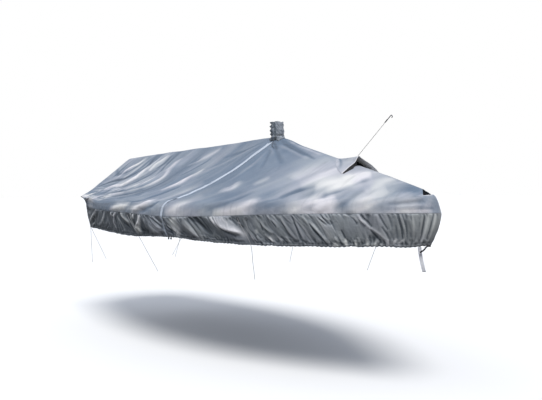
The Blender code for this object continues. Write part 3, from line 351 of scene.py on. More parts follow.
# Painted light and shade on the skirt: highlights on crumples, folds and the hem, light bands at the bow,
# and painted shadows.
SKIRT_PAINTED_LIGHT = (
    (20, 24, 25, .87, .03, .80, .35, .76, .65, .72, .88),
    (14, 14, 18, .60, .03, .50, .32),
    (16, 20, 24, .50, .38, .42, .55, .36, .75, .33, .92),
    (12, 16, 15, 1.00, .03, .96, .40, .90, .82),
    (12, 12, 19, 1.37, .05, 1.33, .42),
    (30, 24, 22, 1.25, .64, 1.23, .88),
    (30, 24, 58, 1.79, .00, 1.74, .20, 1.68, .38, 1.60, .50, 1.52, .58, 1.45, .62),
    (20, 12, 41, 1.71, .00, 1.65, .14, 1.60, .34),
    (26, 18, 22, 1.50, .60, 1.45, .84),
    (40, 48, 125, 2.25, .00, 2.23, .36, 2.22, .70, 2.20, .84),
    (7, 8, 30, 2.33, .40, 2.26, .70),
    (30, 36, 18, 2.12, .22, 2.05, .50, 1.97, .80, 1.90, .97),
    (17, 18, 130, .73, .86, .71, 1.12), (9, 10, 100, .65, .74, .63, 1.12),
    (9, 10, 80, .57, .76, .56, 1.12), (9, 10, 70, .49, .74, .47, 1.12),
    (8, 9, 60, .42, .76, .43, 1.12), (10, 12, 110, .34, .76, .31, 1.12),
    (10, 10, 100, .29, .92, .27, .74), (8, 8, 80, .26, .90, .21, .74), (9, 9, 60, 1.26, .70, 1.23, .90),
    (6, 7, 44, 1.20, .66, 1.15, .82), (5, 5, 44, .39, .90, .36, .98), (5, 5, 44, .25, .92, .23, .99),
    # the bow
    (12, 12, 44, .080, .00, .085, .90), (7, 7, 52, .035, .00, .035, .90), (16, 12, 12, .18, .02, .16, .86),
    # aft
    (8, 12, 60, 3.98, .00, 4.10, .20, 4.22, .38, 4.33, .52, 4.42, .72),
    (6, 7, 90, 3.96, .04, 4.12, .34, 4.21, .70), (6, 7, 60, 4.21, .22, 4.22, .68, 4.58, .98),
    (6, 7, 60, 3.69, .12, 3.74, .64), (12, 16, 22, 3.67, .05, 3.70, .30, 3.76, .45, 3.90, .65, 4.10, .86),
    (6, 8, 90, 3.44, .00, 3.42, .24), (8, 9, 110, 3.29, .00, 3.37, .26, 3.38, .56, 3.36, .78),
    (6, 7, 60, 3.28, .18, 3.22, .50, 3.17, .88), (18, 14, 50, 3.18, .00, 3.10, .25, 3.00, .42),
    (8, 9, 130, 2.94, .00, 2.97, .26, 2.94, .60, 2.88, .90), (7, 7, 100, 2.89, .00, 2.90, .24),
    (16, 22, 110, 2.76, .00, 2.79, .30, 2.83, .60, 2.84, .90), (8, 10, 60, 2.68, .12, 2.71, .50, 2.70, .86),
    (36, 36, 26, 2.60, .52, 2.47, .84),
    (30, 24, 24, 4.78, .20, 4.66, .45, 4.60, .85),
    # painted shadows of the middle tie's ring and cord, painted highlights along the cord, and painted shade
    # in puckers and hollows
    (6, 6, -100, 1.535, .10, 1.505, .22), (7, 6, -100, 1.515, .28, 1.475, .42),
    (4, 4, 90, 1.53, .22, 1.50, .30),
    (4, 4, 70, 1.47, .14, 1.46, .42, 1.42, .66, 1.38, .98),
    (5, 5, -80, 1.44, .10, 1.43, .42, 1.38, .66, 1.34, .98),
    (14, 12, 40, 1.37, .46, 1.36, .60), (5, 4, -70, 1.76, .02, 1.74, .15),
    (5, 4, -60, 1.70, .02, 1.68, .12), (5, 5, -80, 1.64, .02, 1.60, .17),
    (5, 4, -60, 1.58, .02, 1.54, .14), (30, 30, -30, 1.50, .12, 1.44, .48),
    (50, 50, -40, 2.00, .05, 1.87, .35, 1.82, .74),
    (34, 34, -50, 2.24, .90, 2.00, .98),
    (40, 34, -50, 2.80, .74, 2.62, .96),
    (60, 60, -25, 4.24, .55, 3.90, .85, 3.45, .80),
)
PAINTED_SUNLIGHT_COLUMNS = ("rib", "over", "below")      # how much painted sunlight the whole top gets, over and below its edge
PAINTED_SUNLIGHT = (
    (0.0, .08, .10), (1.0, .16, .14), (2.0, .08, .02), (3.0, .12, .08), (4.0, .02, .20), (4.6, .02, .26),
    (5.2, .08, .06), (6.0, .28, .10), (6.7, .42, .22), (7.4, .42, .36), (8.0, .30, .40), (9.0, .10, .26),
    (10.0, .12, .24),
)

# ---------------------------------------------------------------- the cover's surface


def clamp(value):
    return np.clip(value, 0, 1)


def bell(distance, width):
    return np.exp(-(distance / width) ** 2)


def run_along(points):
    """Metres along a line, at each of its points."""
    return np.concatenate([[0], np.cumsum(np.linalg.norm(np.diff(points, axis=0), axis=1))])


def unit_rows(vectors):
    return vectors / np.maximum(np.linalg.norm(vectors, axis=-1, keepdims=True), 1e-12)


def joined(*parts):
    """Arrays, or numbers, side by side as the columns of one."""
    return np.stack(np.broadcast_arrays(*parts), axis=-1)


UP = np.array([0.0, 0.0, 1.0])


def column(table, names, name):
    return np.array([row[names.index(name)] for row in table])


def smooth_row(values, u):
    """Reads a column of RIBS between its rows (a Catmull-Rom spline)."""
    u = np.asarray(u, float)
    last = len(values) - 1
    i = np.clip(np.floor(u).astype(int), 0, last - 1)
    t = u - i
    b, c = values[i], values[i + 1]
    a = np.where(i > 0, values[np.maximum(i - 1, 0)], 2 * b - c)
    d = np.where(i < last - 1, values[np.minimum(i + 2, last)], 2 * c - b)
    return b + 0.5 * t * (c - a + t * (2 * a - 5 * b + 4 * c - d + t * (3 * (b - c) + d - a)))


def smooth_rows(route, u):
    return np.stack([smooth_row(route[:, k], u) for k in range(route.shape[1])], axis=-1)


def smooth_route(points, count):
    route = np.array(points, float)
    return smooth_rows(route, np.linspace(0, len(route) - 1, count))


def rib(u):
    return {name: smooth_row(column(RIBS, COLUMNS, name), u) for name in COLUMNS}


def bump(distance, half_width):
    near = clamp(1 - np.abs(distance) / (2 * half_width))
    return near * near * (3 - 2 * near)


def bend(start, middle, end, t):
    return (1 - t) ** 2 * start + 2 * t * (1 - t) * middle + t * t * end


def top_folds(x, y):
    height = np.zeros_like(x)
    along = np.linspace(0, 1, 24)
    for row in TOP_FOLDS:
        fold = dict(zip(TOP_FOLD_COLUMNS, row))
        line_x = bend(fold["start_x"], fold["bend_x"], fold["end_x"], along)
        line_y = bend(fold["start_y"], fold["bend_y"], fold["end_y"], along)
        away = np.hypot(x[..., None] - line_x, np.abs(y)[..., None] - line_y).min(axis=-1)
        height = height + fold["height"] * bump(away, fold["half_width"])
    return height


def top_point(u, v):
    """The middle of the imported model's top cloth."""
    u, v = np.broadcast_arrays(np.asarray(u, float), np.asarray(v, float))
    r = rib(u)
    side = np.where(v < 0, STARBOARD, PORT)
    out = clamp(np.abs(v))
    down = clamp(np.abs(v) - 1)
    roundness = RIDGE_RADIUS / np.maximum(r["edge_y"], 0.1)
    eased = (np.hypot(out, roundness) - roundness) / (np.hypot(1, roundness) - roundness)
    drop = eased * (1 + r["sag"] * (1 - eased))
    x = r["ridge_x"] + (r["edge_x"] - r["ridge_x"]) * out
    y = r["edge_y"] * out
    z = r["ridge_z"] + (r["edge_z"] - r["ridge_z"]) * drop
    slope = (r["edge_z"] - r["ridge_z"]) * (1 - r["sag"]) / np.maximum(r["edge_y"], 0.05)
    shoulder = np.maximum(r["edge_z"] + 0.8 * slope * np.abs(r["seam_y"] - r["edge_y"]),
                          0.6 * r["edge_z"] + 0.4 * r["seam_z"])
    over = down > 0
    x = np.where(over, bend(r["edge_x"], (r["edge_x"] + r["seam_x"]) / 2, r["seam_x"], down), x)
    y = np.where(over, bend(r["edge_y"], r["seam_y"], r["seam_y"], down), y)
    z = np.where(over, bend(r["edge_z"], shoulder, r["seam_z"], down), z)
    taut = clamp((2 - np.abs(v)) / 0.6) * np.clip(np.abs(v) / FOLD_START_V, FOLD_AT_RIDGE, 1)
    z = z + top_folds(x, y) * taut * clamp(MAST - 0.1 - u)
    return joined(x, side * y, z)


SEAM_U = np.linspace(STERN, STEM, 1001)
SEAM_XY = joined(rib(SEAM_U)["seam_x"], rib(SEAM_U)["seam_y"])
SEAM_GIRTH = run_along(SEAM_XY[::-1])[::-1]      # metres from the stem


def girth(u):
    return np.interp(u, SEAM_U, SEAM_GIRTH)


def rib_at_girth(g):
    return np.interp(-np.asarray(g, float), -SEAM_GIRTH, SEAM_U)


def tie_hold(g, w):
    """0 under a taut tie, 1 away from it."""
    free = 1.0
    for tie in TIES:
        line = tie[TIE_COLUMNS.index("ring_girth")] * (1 - w) + tie[TIE_COLUMNS.index("hem_girth")] * w
        free = free * (1 - bell(g - line, TIE_PINCH))
    return free


def skirt_folds(g, w):
    out = np.zeros_like(g)
    for row in SKIRT_FOLDS:
        fold = dict(zip(SKIRT_FOLD_COLUMNS, row))
        line = fold["top"] + (fold["foot"] - fold["top"]) * w
        out = out + fold["height"] * bump(g - line, fold["half_width"])
    return out * tie_hold(g, w) * np.sin(math.pi * clamp(w)) ** 0.7


def skirt_point(u, w, side):
    """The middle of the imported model's skirt."""
    u, w = np.broadcast_arrays(np.asarray(u, float), np.asarray(w, float))
    r = rib(u)
    ahead = rib(np.minimum(u + 0.01, STEM))
    behind = rib(np.maximum(u - 0.01, STERN))
    run_x = ahead["seam_x"] - behind["seam_x"]
    run_y = ahead["seam_y"] - behind["seam_y"]
    length = np.hypot(run_x, run_y)
    out = skirt_folds(girth(u), w) * clamp((STEM - u) / 0.3)
    x = r["seam_x"] + (r["hem_x"] - r["seam_x"]) * w ** 1.6 - run_y / length * out
    y = r["seam_y"] + (r["hem_y"] - r["seam_y"]) * w + run_x / length * out
    z = r["seam_z"] + (r["hem_z"] - r["seam_z"]) * w
    return joined(x, side * y, z)


def closure_u(offset, at_v=None):
    """Rib number of a line `offset` metres forward of the closure: on the top at `at_v`, or on the skirt."""
    fore, aft = (rib(u)["seam_x"] if at_v is None else top_point(u, at_v)[..., 0]
                 for u in (MAST + READ_STEP, MAST - READ_STEP))
    return MAST + offset * 2 * READ_STEP / (fore - aft)


# ---------------------------------------------------------------- fine relief
CORNER_PULL = 0.38
CORNER_REACH_U, CORNER_START_U, CORNER_REACH_V = 0.35, 0.09, 0.12
HOLE_V = 0.07
HOLE_LENGTH = 0.13
SHROUD_V = 0.955
SHROUD_GAP = 0.008
BUTT = 0.0004
VENT_U = (6.11, 6.35, 6.61, 6.86)
VENT_HOLE_V = (HOLE_V, 0.19)
NOTCH_U = 9.34
NOTCH_V = 1.01
RIDGE_PER_RIB = {"aft": 0.70, "fore": 0.33}
HOLE_AFT_U = MAST - HOLE_LENGTH / 2 / RIDGE_PER_RIB["aft"]
HOLE_FORE_U = MAST + HOLE_LENGTH / 2 / RIDGE_PER_RIB["fore"]


def near_mast_v(u, v):
    """Draws the corners of the mast hole in."""
    nearness = clamp(1 - np.abs(u - MAST) / CORNER_REACH_U)
    corner = clamp(np.abs(u - MAST) / CORNER_START_U)
    inner = clamp(1 - np.maximum(np.abs(v) - HOLE_V, 0) / CORNER_REACH_V)
    return v * (1 - CORNER_PULL * nearness * corner * inner)


def top_plan(u, v):
    """The top laid flat: metres along the boat and metres out from the ridge."""
    u, v = np.broadcast_arrays(np.asarray(u, float), np.abs(np.asarray(v, float)))
    r = rib(u)
    out, down = clamp(v), clamp(v - 1)
    slant = np.hypot(r["edge_y"], r["edge_z"] - r["ridge_z"])
    fall = np.hypot(r["seam_y"] - r["edge_y"], r["seam_z"] - r["edge_z"])
    x = r["ridge_x"] + (r["edge_x"] - r["ridge_x"]) * out + (r["seam_x"] - r["edge_x"]) * down
    return joined(x, slant * out + fall * down)


def skirt_plan(g, w):
    """The skirt laid flat: metres from the stem and metres down from the seam."""
    g, w = np.broadcast_arrays(np.asarray(g, float), np.asarray(w, float))
    r = rib(rib_at_girth(g))
    return joined(g, (r["seam_z"] - r["hem_z"]) * w)


def hollows(height, reach=3):
    """How far each place of a grid stands out of its neighbours' mean, below 0 in a crease."""
    mean = height
    for axis in (0, 1):
        ends = [(reach, reach) if k == axis else (0, 0) for k in (0, 1)]
        padded = np.pad(mean, ends, mode="edge")
        mean = np.lib.stride_tricks.sliding_window_view(padded, 2 * reach + 1, axis).mean(axis=-1)
    return height - mean


def strokes(places, rows, to_plan, hollow=0.5, crisp=2.0, gentle=(0, 0), lean=1.0):
    """The sum of a table's strokes at flat places, fading out at their ends. `hollow` adds a shallow
    trough on both sides, `crisp` sets the crest, and `lean` widens the side that faces `gentle`."""
    flat = places.reshape(-1, 2)
    total = np.zeros(len(flat))
    for row in rows:
        stroke = dict(zip(STROKE_COLUMNS, np.array(row[:3]) / 1000))
        route = np.reshape(row[3:], (-1, 2))
        route = smooth_route(route, 6 * len(route))
        line = to_plan(route[:, 0], route[:, 1])
        width = np.linspace(stroke["start_width"], stroke["end_width"], len(line))
        reach = 2.6 * lean * width.max()
        near = np.all((flat > line.min(axis=0) - reach) & (flat < line.max(axis=0) + reach), axis=1)
        start, step = line[:-1], np.diff(line, axis=0)
        offset = flat[near, None] - start
        share = clamp((offset * step).sum(-1) / np.maximum((step * step).sum(-1), 1e-12))
        offset = offset - share[..., None] * step
        away = np.linalg.norm(offset, axis=-1)
        q = away / (width[:-1] + np.diff(width) * share)
        nearest = np.arange(len(q)), q.argmin(axis=1)
        facing = (offset[nearest] @ np.array(gentle)) / np.maximum(away[nearest], 1e-9)
        q = q[nearest] / (1 + (lean - 1) * (0.5 + 0.5 * facing))
        along = (nearest[1] + share[nearest]) / len(step)
        fade = clamp(np.sin(math.pi * along)) ** STROKE_END
        total[near] += stroke["size"] * fade * (np.exp(-q ** crisp) - hollow * q * q * np.exp(-q * q))
    return total.reshape(places.shape[:-1])


def patchy(places, cell, seed):
    """Smooth random relief of -1..1 with lumps about `cell` metres across."""
    table = np.random.default_rng(seed).uniform(-1, 1, (97, 89))
    at = np.asarray(places) / np.asarray(cell) + 40
    whole = np.floor(at).astype(int)
    part = at - whole
    part = part * part * (3 - 2 * part)
    near, far = whole % table.shape, (whole + 1) % table.shape
    low, high = (table[near[..., 0], j] * (1 - part[..., 0]) + table[far[..., 0], j] * part[..., 0]
                 for j in (near[..., 1], far[..., 1]))
    return low * (1 - part[..., 1]) + high * part[..., 1]


def ridged(places, cell, seed):
    """Random relief of -1..1 with sharp crests."""
    return 1 - 2 * np.abs(patchy(places, cell, seed)) ** 0.8


def layered(reader, places, rows):
    """The sum of (height, cell, seed) layers of random relief."""
    return sum(height * reader(places, cell, seed) for height, cell, seed in rows)


def other_side(rows, seed, shift, grow, calm=1.0, bare=(0, 0)):
    """The same kind of strokes for the port side, moved and resized a little at random. `calm`
    lowers the long ones. Those wholly inside `bare`, the corner by the stern and the ridge, are left
    out."""
    draw = np.random.default_rng(seed)
    made = []
    for row in rows:
        route = np.reshape(row[3:], (-1, 2)) + draw.uniform(-1, 1, 2) * shift
        widths = np.array(row[:2]) * (1 + draw.uniform(-grow, grow))
        size = row[2] * (1 + draw.uniform(-grow, grow))
        if np.ptp(route, axis=0).max() > LONG_STROKE:
            size = calm * size
        if not np.all(route < bare):
            made.append((*widths, size, *route.ravel()))
    return tuple(made)


LONG_STROKE = 0.4            # ribs, or parts of the slope
STERN_RIDGE = (1.30, 0.75)   # the corner by the stern and the ridge, as (u, v)
PATCH_SHARE = 10             # makes a patch's size, in hundredths, a share of 1
CREASES = {STARBOARD: TOP_CREASES, PORT: other_side(TOP_CREASES, 11, (0.05, 0.03), 0.25, 0.5, STERN_RIDGE)}
# Painted light and shade for each side of the top and the skirt; the port side's are moved copies of the
# starboard side's.
PAINTED_LIGHT = {STARBOARD: TOP_PAINTED_LIGHT, PORT: other_side(TOP_PAINTED_LIGHT, 12, (0.12, 0.06), 0.25, 1.0, STERN_RIDGE)}
SIDE_CREASES = {STARBOARD: SKIRT_CREASES, PORT: other_side(SKIRT_CREASES, 13, (0.03, 0.02), 0.25)}
SIDE_PAINTED_LIGHT = {STARBOARD: SKIRT_PAINTED_LIGHT, PORT: other_side(SKIRT_PAINTED_LIGHT, 14, (0.03, 0.02), 0.25)}


def by_side(v, reader):
    """Reads both sides of the top with their own tables."""
    value = np.zeros(np.shape(v))
    for side in (STARBOARD, PORT):
        mine = (v < 0) if side == STARBOARD else (v >= 0)
        value[mine] = reader(mine, side)
    return value


def fan(u, v):
    """The streaks' own coordinates: which fold line a place is on, and how far along it. Aft of the
    mast a line leaves the transom level and bends up to the boom; ahead of it a line runs up from the
    seam, leaning forward."""
    u, v = np.broadcast_arrays(np.asarray(u, float), np.abs(np.asarray(v, float)))
    low, high = np.zeros(u.shape), np.full(u.shape, 9.0)
    for _ in range(24):
        line = (low + high) / 2
        inside = (u / np.maximum(line, 1e-6)) ** 3 + (v / (FAN_RISE * line + FAN_START)) ** 3 > 1
        low, high = np.where(inside, line, low), np.where(inside, high, line)
    share = clamp((u - MAST) * 4 + 0.5)
    line = low * (1 - share) + (u + FORE_LEAN * v + 20) * share
    return joined(line, (u - 1.2 * v) * (1 - share) + 1.2 * v * share)


def top_creases(u, v):
    flat = top_plan(u, v)
    return by_side(v, lambda mine, side: strokes(flat[mine], CREASES[side], top_plan))


TOP_LUMPS = ((0.0030, (0.40, 0.30), 21), (0.0012, (0.13, 0.10), 22), (0.00045, (0.05, 0.04), 23))
TOP_PLEATS = ((0.0034, (0.21, 1.4), 27), (0.0020, (0.085, 0.9), 28))
SEAM_PUCKER, CLOSURE_GATHER = 0.0040, 0.0016
EDGE_REACH = 0.030           # how far the puckers and the gathers run in from the seam and the closure
CRISP = {"top": 0.0022, "skirt": 0.0016, "sleeve": 0.0014}       # relief of a full crease, for the painted shade in creases and painted highlights on crests
PORT_ROW = 50                # keeps the port side's random rows apart from the starboard side's


def top_fabric(u, v):
    return top_plan(u, v) * joined(1, np.sign(v))


def top_relief(u, v):
    """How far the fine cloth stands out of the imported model's."""
    signed = top_fabric(u, v)
    height = top_creases(u, v) + layered(patchy, signed, TOP_LUMPS)
    lines = fan(u, v) + joined(0.04 * patchy(signed, (0.22, 0.16), 26), PORT_ROW * (v > 0))
    spread_out = clamp(0.35 + 0.45 * u) * clamp(2.2 - np.abs(v))
    spread_out = spread_out * (1 - 0.7 * clamp((u - MAST) * 3 + 0.8))
    height += spread_out * (layered(ridged, lines, TOP_PLEATS) + 0.0008 * patchy(lines, (0.035, 0.5), 29))
    seam = clamp((2 - np.abs(v)) * 0.12)
    pucker = patchy(joined(signed[..., 0], 3 * np.sign(v)), (0.020, 1), 24)
    height += SEAM_PUCKER * pucker * bell(seam, EDGE_REACH) * clamp(seam / 0.006)
    closure = np.abs(u - MAST) * np.where(u < MAST, 0.62, 0.45)
    gather = patchy(joined(signed[..., 1], 0), (0.030, 1), 25)
    height += CLOSURE_GATHER * gather * bell(np.maximum(closure - 0.02, 0), EDGE_REACH)
    ends = clamp((STEM - u) / 0.4) * clamp((2 - np.abs(v)) / 0.12) * np.clip(u / 0.10, 0.25, 1)
    hole = clamp((np.hypot((u - MAST) * 0.45, v * 0.9) - 0.085) / 0.05)
    boom = 0.15 + 0.85 * clamp(np.abs(v) / 0.22) ** 1.5
    return height * ends * hole * boom


def each_way(u):
    return np.minimum(u + READ_STEP, STEM), np.maximum(u - READ_STEP, STERN)


def top_normal(u, v):
    fore, aft = each_way(u)
    out = top_point(u, v + READ_STEP) - top_point(u, v - READ_STEP)
    normal = unit_rows(np.cross(top_point(fore, v) - top_point(aft, v), out))
    facing = normal[..., 2] + np.where(v < 0, STARBOARD, PORT) * normal[..., 1]
    return normal * np.where(facing < 0, -1, 1)[..., None]


def on_top(u, v, height=0.0):
    """A place on the fine top cloth, `height` off it."""
    u, v = np.broadcast_arrays(np.asarray(u, float), np.asarray(v, float))
    lift = top_relief(u, v) + height
    return top_point(u, v) + top_normal(u, v) * lift[..., None]


HEM = 0.022                  # the hem's channel for its shock cord
HEM_PITCH = 0.036            # from one gather of the hem to the next
HEM_REACH = 0.030            # how far up the gathers run
HEM_GATHER, HEM_ROUND, HEM_STITCH = 0.0026, 0.0022, 0.0016     # heights of its gathers, roll and line
SKIRT_CRUMPLE, SKIRT_PUCKER, SKIRT_CREASE = 0.0032, 0.0048, 1.2
SKIRT_PLEATS = ((0.0030, (0.075, 0.34), 31), (0.0022, (0.032, 0.16), 32), (0.0009, (0.015, 0.06), 33))
# How far forward the cloth is dragged for each metre down, at metres from the stem.
DRAG_G = (0.0, 0.5, 1.0, 1.5, 2.0, 2.5, 2.9, 3.3, 3.7, 4.1, 4.5, 4.8)
DRAG = (-0.3, -0.45, -0.8, -0.5, -0.8, -0.9, -0.3, 0.1, 0.9, 1.4, 1.0, 0.3)


def skirt_creases(flat, side):
    rows = SIDE_CREASES[side]
    return SKIRT_CREASE * strokes(flat, rows, skirt_plan, hollow=0.35, crisp=1.3, gentle=(-1, 0), lean=3.0)


def hem_gathers(along):
    return np.cos(2 * math.pi * along / HEM_PITCH)


def near_hem(to_hem):
    return bell(np.maximum(to_hem - HEM * 0.4, 0), HEM_REACH)


def skirt_relief(g, w, side):
    flat = skirt_plan(g, w)
    down = flat[..., 1]
    to_hem = down[..., -1:] - down
    wander = 0.02 * patchy(flat + (0, 5 * side), (0.12, 0.10), 30)
    dragged = flat - joined(np.interp(g, DRAG_G, DRAG) * down + wander, -5.0 * side)
    height = skirt_creases(flat, side) + layered(ridged, dragged, SKIRT_PLEATS)
    height *= clamp(w / 0.05) * clamp((1.06 - w) / 0.3)
    crumple = ridged(dragged * (1, 1.2), (0.030, 0.035), 37) + 0.6 * ridged(dragged, (0.013, 0.018), 38)
    height += SKIRT_CRUMPLE * crumple * bell(to_hem - 0.030, 0.024)
    along = g + 0.020 * patchy(joined(g, side), (0.07, 1), 34)
    depth = 0.5 + 0.8 * patchy(joined(g, side), (0.05, 1), 35)
    height += HEM_GATHER * depth * hem_gathers(along) * near_hem(to_hem)
    height += HEM_ROUND * bell(to_hem - HEM * 0.45, HEM * 0.34)
    height -= HEM_STITCH * bell(to_hem - HEM, 0.0035)
    pucker = patchy(dragged, (0.013, 0.08), 36)
    reach = 0.026 + 0.014 * patchy(dragged, (0.09, 0.5), 39)
    height += SKIRT_PUCKER * pucker * bell(down, reach) * clamp(down / 0.006)
    return height * clamp(g / 0.05) * clamp(tie_hold(g, w) * 1.6)


def skirt_normal(u, w, side):
    fore, aft = each_way(u)
    down = skirt_point(u, w + READ_STEP, side) - skirt_point(u, np.maximum(w - READ_STEP, 0), side)
    normal = unit_rows(np.cross(skirt_point(fore, w, side) - skirt_point(aft, w, side), down))
    return normal * np.sign(normal[..., 1] * side + 1e-9)[..., None]


def on_skirt(g, w, side, height=0.0):
    """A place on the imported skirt's middle and its way out."""
    u = rib_at_girth(g)
    normal = skirt_normal(u, np.asarray(w, float), side)
    return skirt_point(u, w, side) + normal * height, normal


# ---------------------------------------------------------------- finishes
class Nodes:
    """A node tree, written as a few named steps."""

    def __init__(self, tree):
        self.tree = tree

    def node(self, kind, output, inputs=(), **settings):
        """A node with its settings, and its inputs set or linked. Gives back its named output."""
        made = self.tree.nodes.new(kind)
        for name, value in settings.items():
            setattr(made, name, value)
        for name, value in dict(inputs).items():
            if isinstance(value, bpy.types.NodeSocket):
                self.tree.links.new(value, made.inputs[name])
            else:
                made.inputs[name].default_value = value
        return made.outputs[output] if output else made

    def noise(self, vector, scale, detail=3.0, roughness=0.5):
        inputs = {"Vector": vector, "Scale": scale, "Detail": detail, "Roughness": roughness}
        return self.node("ShaderNodeTexNoise", "Fac", inputs)

    def wave(self, vector, scale, direction):
        return self.node("ShaderNodeTexWave", "Fac", {"Vector": vector, "Scale": scale},
                         wave_type="BANDS", bands_direction=direction)

    def stretched(self, vector, scale):
        return self.node("ShaderNodeMapping", "Vector", {"Vector": vector, "Scale": scale})

    def maths(self, operation, first, second):
        return self.node("ShaderNodeMath", "Value", {0: first, 1: second}, operation=operation)

    def spread(self, value, low, high, to_low, to_high):
        inputs = {"Value": value, "From Min": low, "From Max": high, "To Min": to_low, "To Max": to_high}
        return self.node("ShaderNodeMapRange", "Result", inputs)

    def mix(self, factor, first, second):
        first, second = ((*colour, 1.0) if isinstance(colour, tuple) else colour
                         for colour in (first, second))
        return self.node("ShaderNodeMix", "Result", {"Factor": factor, "A": first, "B": second},
                         data_type="RGBA")


class Finish(Nodes):
    """A material and its principled shader."""

    def __init__(self, name, **sockets):
        self.made = bpy.data.materials.new(name)
        self.made.use_nodes = True
        super().__init__(self.made.node_tree)
        self.shader = self.tree.nodes["Principled BSDF"]
        for socket, value in sockets.items():
            self.shader.inputs[socket.replace("_", " ")].default_value = value

    def value(self, name, output="Fac"):
        return self.node("ShaderNodeAttribute", output, attribute_name=name)

    def fabric(self):
        """Metres along and across the cloth."""
        return self.value("fabric", "Vector")

    def place(self):
        return self.node("ShaderNodeTexCoord", "Object")

    def drive(self, socket, output):
        self.tree.links.new(output, self.shader.inputs[socket])

    def relief(self, *layers):
        """Bump from (height output, distance in metres) layers."""
        inputs = {}
        for height, distance in layers:
            inputs.update({"Distance": distance, "Height": height})
            inputs["Normal"] = self.node("ShaderNodeBump", "Normal", inputs)
        self.drive("Normal", inputs["Normal"])


LILAC = (0.955, 0.935, 1.0)   # what some of the painted light and bleach turns to, as shares of its light colour
THREADS = 260.0              # wave scale of the cloth's weave: about 1.2 mm a thread
WEAVE_DEPTH = 0.0003


def cover_cloth(name, shade, light, dark, roughness):
    """Coated polyester: weave, faint streaks, and painted light and shade from two colour layers, with some
    bleach and soil; the gaps between the threads get painted shade.
    """
    made = Finish(name, Sheen_Weight=0.12, Sheen_Roughness=0.5, Specular_IOR_Level=0.45)
    fabric = made.fabric()
    clouds = made.noise(fabric, 2.2, 4.0, 0.55)
    fine = made.noise(made.stretched(fabric, (1.0, 2.5, 1.0)), 30.0, 5.0, 0.6)
    streaks = made.noise(made.stretched(fabric, (14.0, 1.6, 1.0)), 2.0, 4.0, 0.6)
    base = made.mix(made.spread(clouds, 0.35, 0.65, 0.0, 1.0), dark, shade)
    lilac = tuple(part * share for part, share in zip(light, LILAC))
    pale = made.mix(made.spread(made.noise(fabric, 3.4, 2.0), 0.42, 0.58, 0.0, 1.0), light, lilac)
    # painted light: dappled sunlight and highlights, with some bleach
    base = made.mix(made.value("bleach_and_painted_light"), base, pale)
    # painted shade: creases, hollows and the side away from the light, with some soil
    painted_shade_and_soil = tuple(0.45 * part for part in dark)
    base = made.mix(made.value("painted_shade_and_soil"), base, painted_shade_and_soil)
    base = made.mix(made.spread(streaks, 0.55, 0.80, 0.0, 0.30), base, painted_shade_and_soil)
    weave = made.maths("MULTIPLY", made.wave(fabric, THREADS, "X"), made.wave(fabric, THREADS, "Y"))
    # painted shade in the gaps between the threads
    base = made.mix(made.spread(weave, 0.0, 1.0, 0.10, 0.0), base, painted_shade_and_soil)
    made.drive("Base Color", base)
    made.drive("Roughness", made.spread(fine, 0.3, 0.7, roughness - 0.06, roughness + 0.08))
    made.relief((weave, WEAVE_DEPTH), (fine, 0.0016), (made.noise(fabric, 9.0, 3.0), 0.004))
    return made.made


def webbing(name, shade, painted_shade_and_soil):
    """Woven tape: a twill with ribs across it, a little soiled, with painted shade in the twill's grooves.
    """
    made = Finish(name, Sheen_Weight=0.15, Sheen_Roughness=0.4, Roughness=0.75)
    fabric = made.fabric()
    twill = made.wave(made.stretched(fabric, (1.0, 1.4, 1.0)), 130.0, "DIAGONAL")
    rows = made.wave(fabric, 190.0, "X")
    grain = made.noise(fabric, 60.0, 4.0)
    base = made.mix(made.spread(grain, 0.35, 0.75, 0.0, 0.5), shade, painted_shade_and_soil)
    # painted shade in the twill's grooves
    base = made.mix(made.spread(twill, 0.0, 1.0, 0.14, 0.0), base, painted_shade_and_soil)
    made.drive("Base Color", base)
    made.relief((made.maths("ADD", twill, rows), 0.0004), (grain, 0.0008))
    return made.made


def braid(name, shade, painted_shade_and_soil, pitch=420.0):
    """A braided cord: two crossing diagonals, with painted shade between the strands."""
    made = Finish(name, Roughness=0.8, Sheen_Weight=0.1)
    place = made.place()
    one = made.wave(made.stretched(place, (1.0, 1.0, 0.8)), pitch, "DIAGONAL")
    two = made.wave(made.stretched(place, (-1.0, 1.0, -0.8)), pitch, "DIAGONAL")
    cross = made.maths("MAXIMUM", one, two)
    # painted shade between the strands
    made.drive("Base Color", made.mix(made.spread(cross, 0.2, 1.0, 1.0, 0.0), shade, painted_shade_and_soil))
    made.relief((cross, 0.0006),)
    return made.made


def hard(name, shade, worn, roughness, metallic=0.0):
    """Moulded or cast, a little worn."""
    made = Finish(name, Metallic=metallic, Specular_IOR_Level=0.5)
    grain = made.noise(made.place(), 220.0, 5.0, 0.6)
    made.drive("Base Color", made.mix(made.spread(grain, 0.45, 0.75, 0.0, 0.7), shade, worn))
    made.drive("Roughness", made.spread(grain, 0.3, 0.7, roughness - 0.1, roughness + 0.12))
    made.relief((grain, 0.0004),)
    return made.made


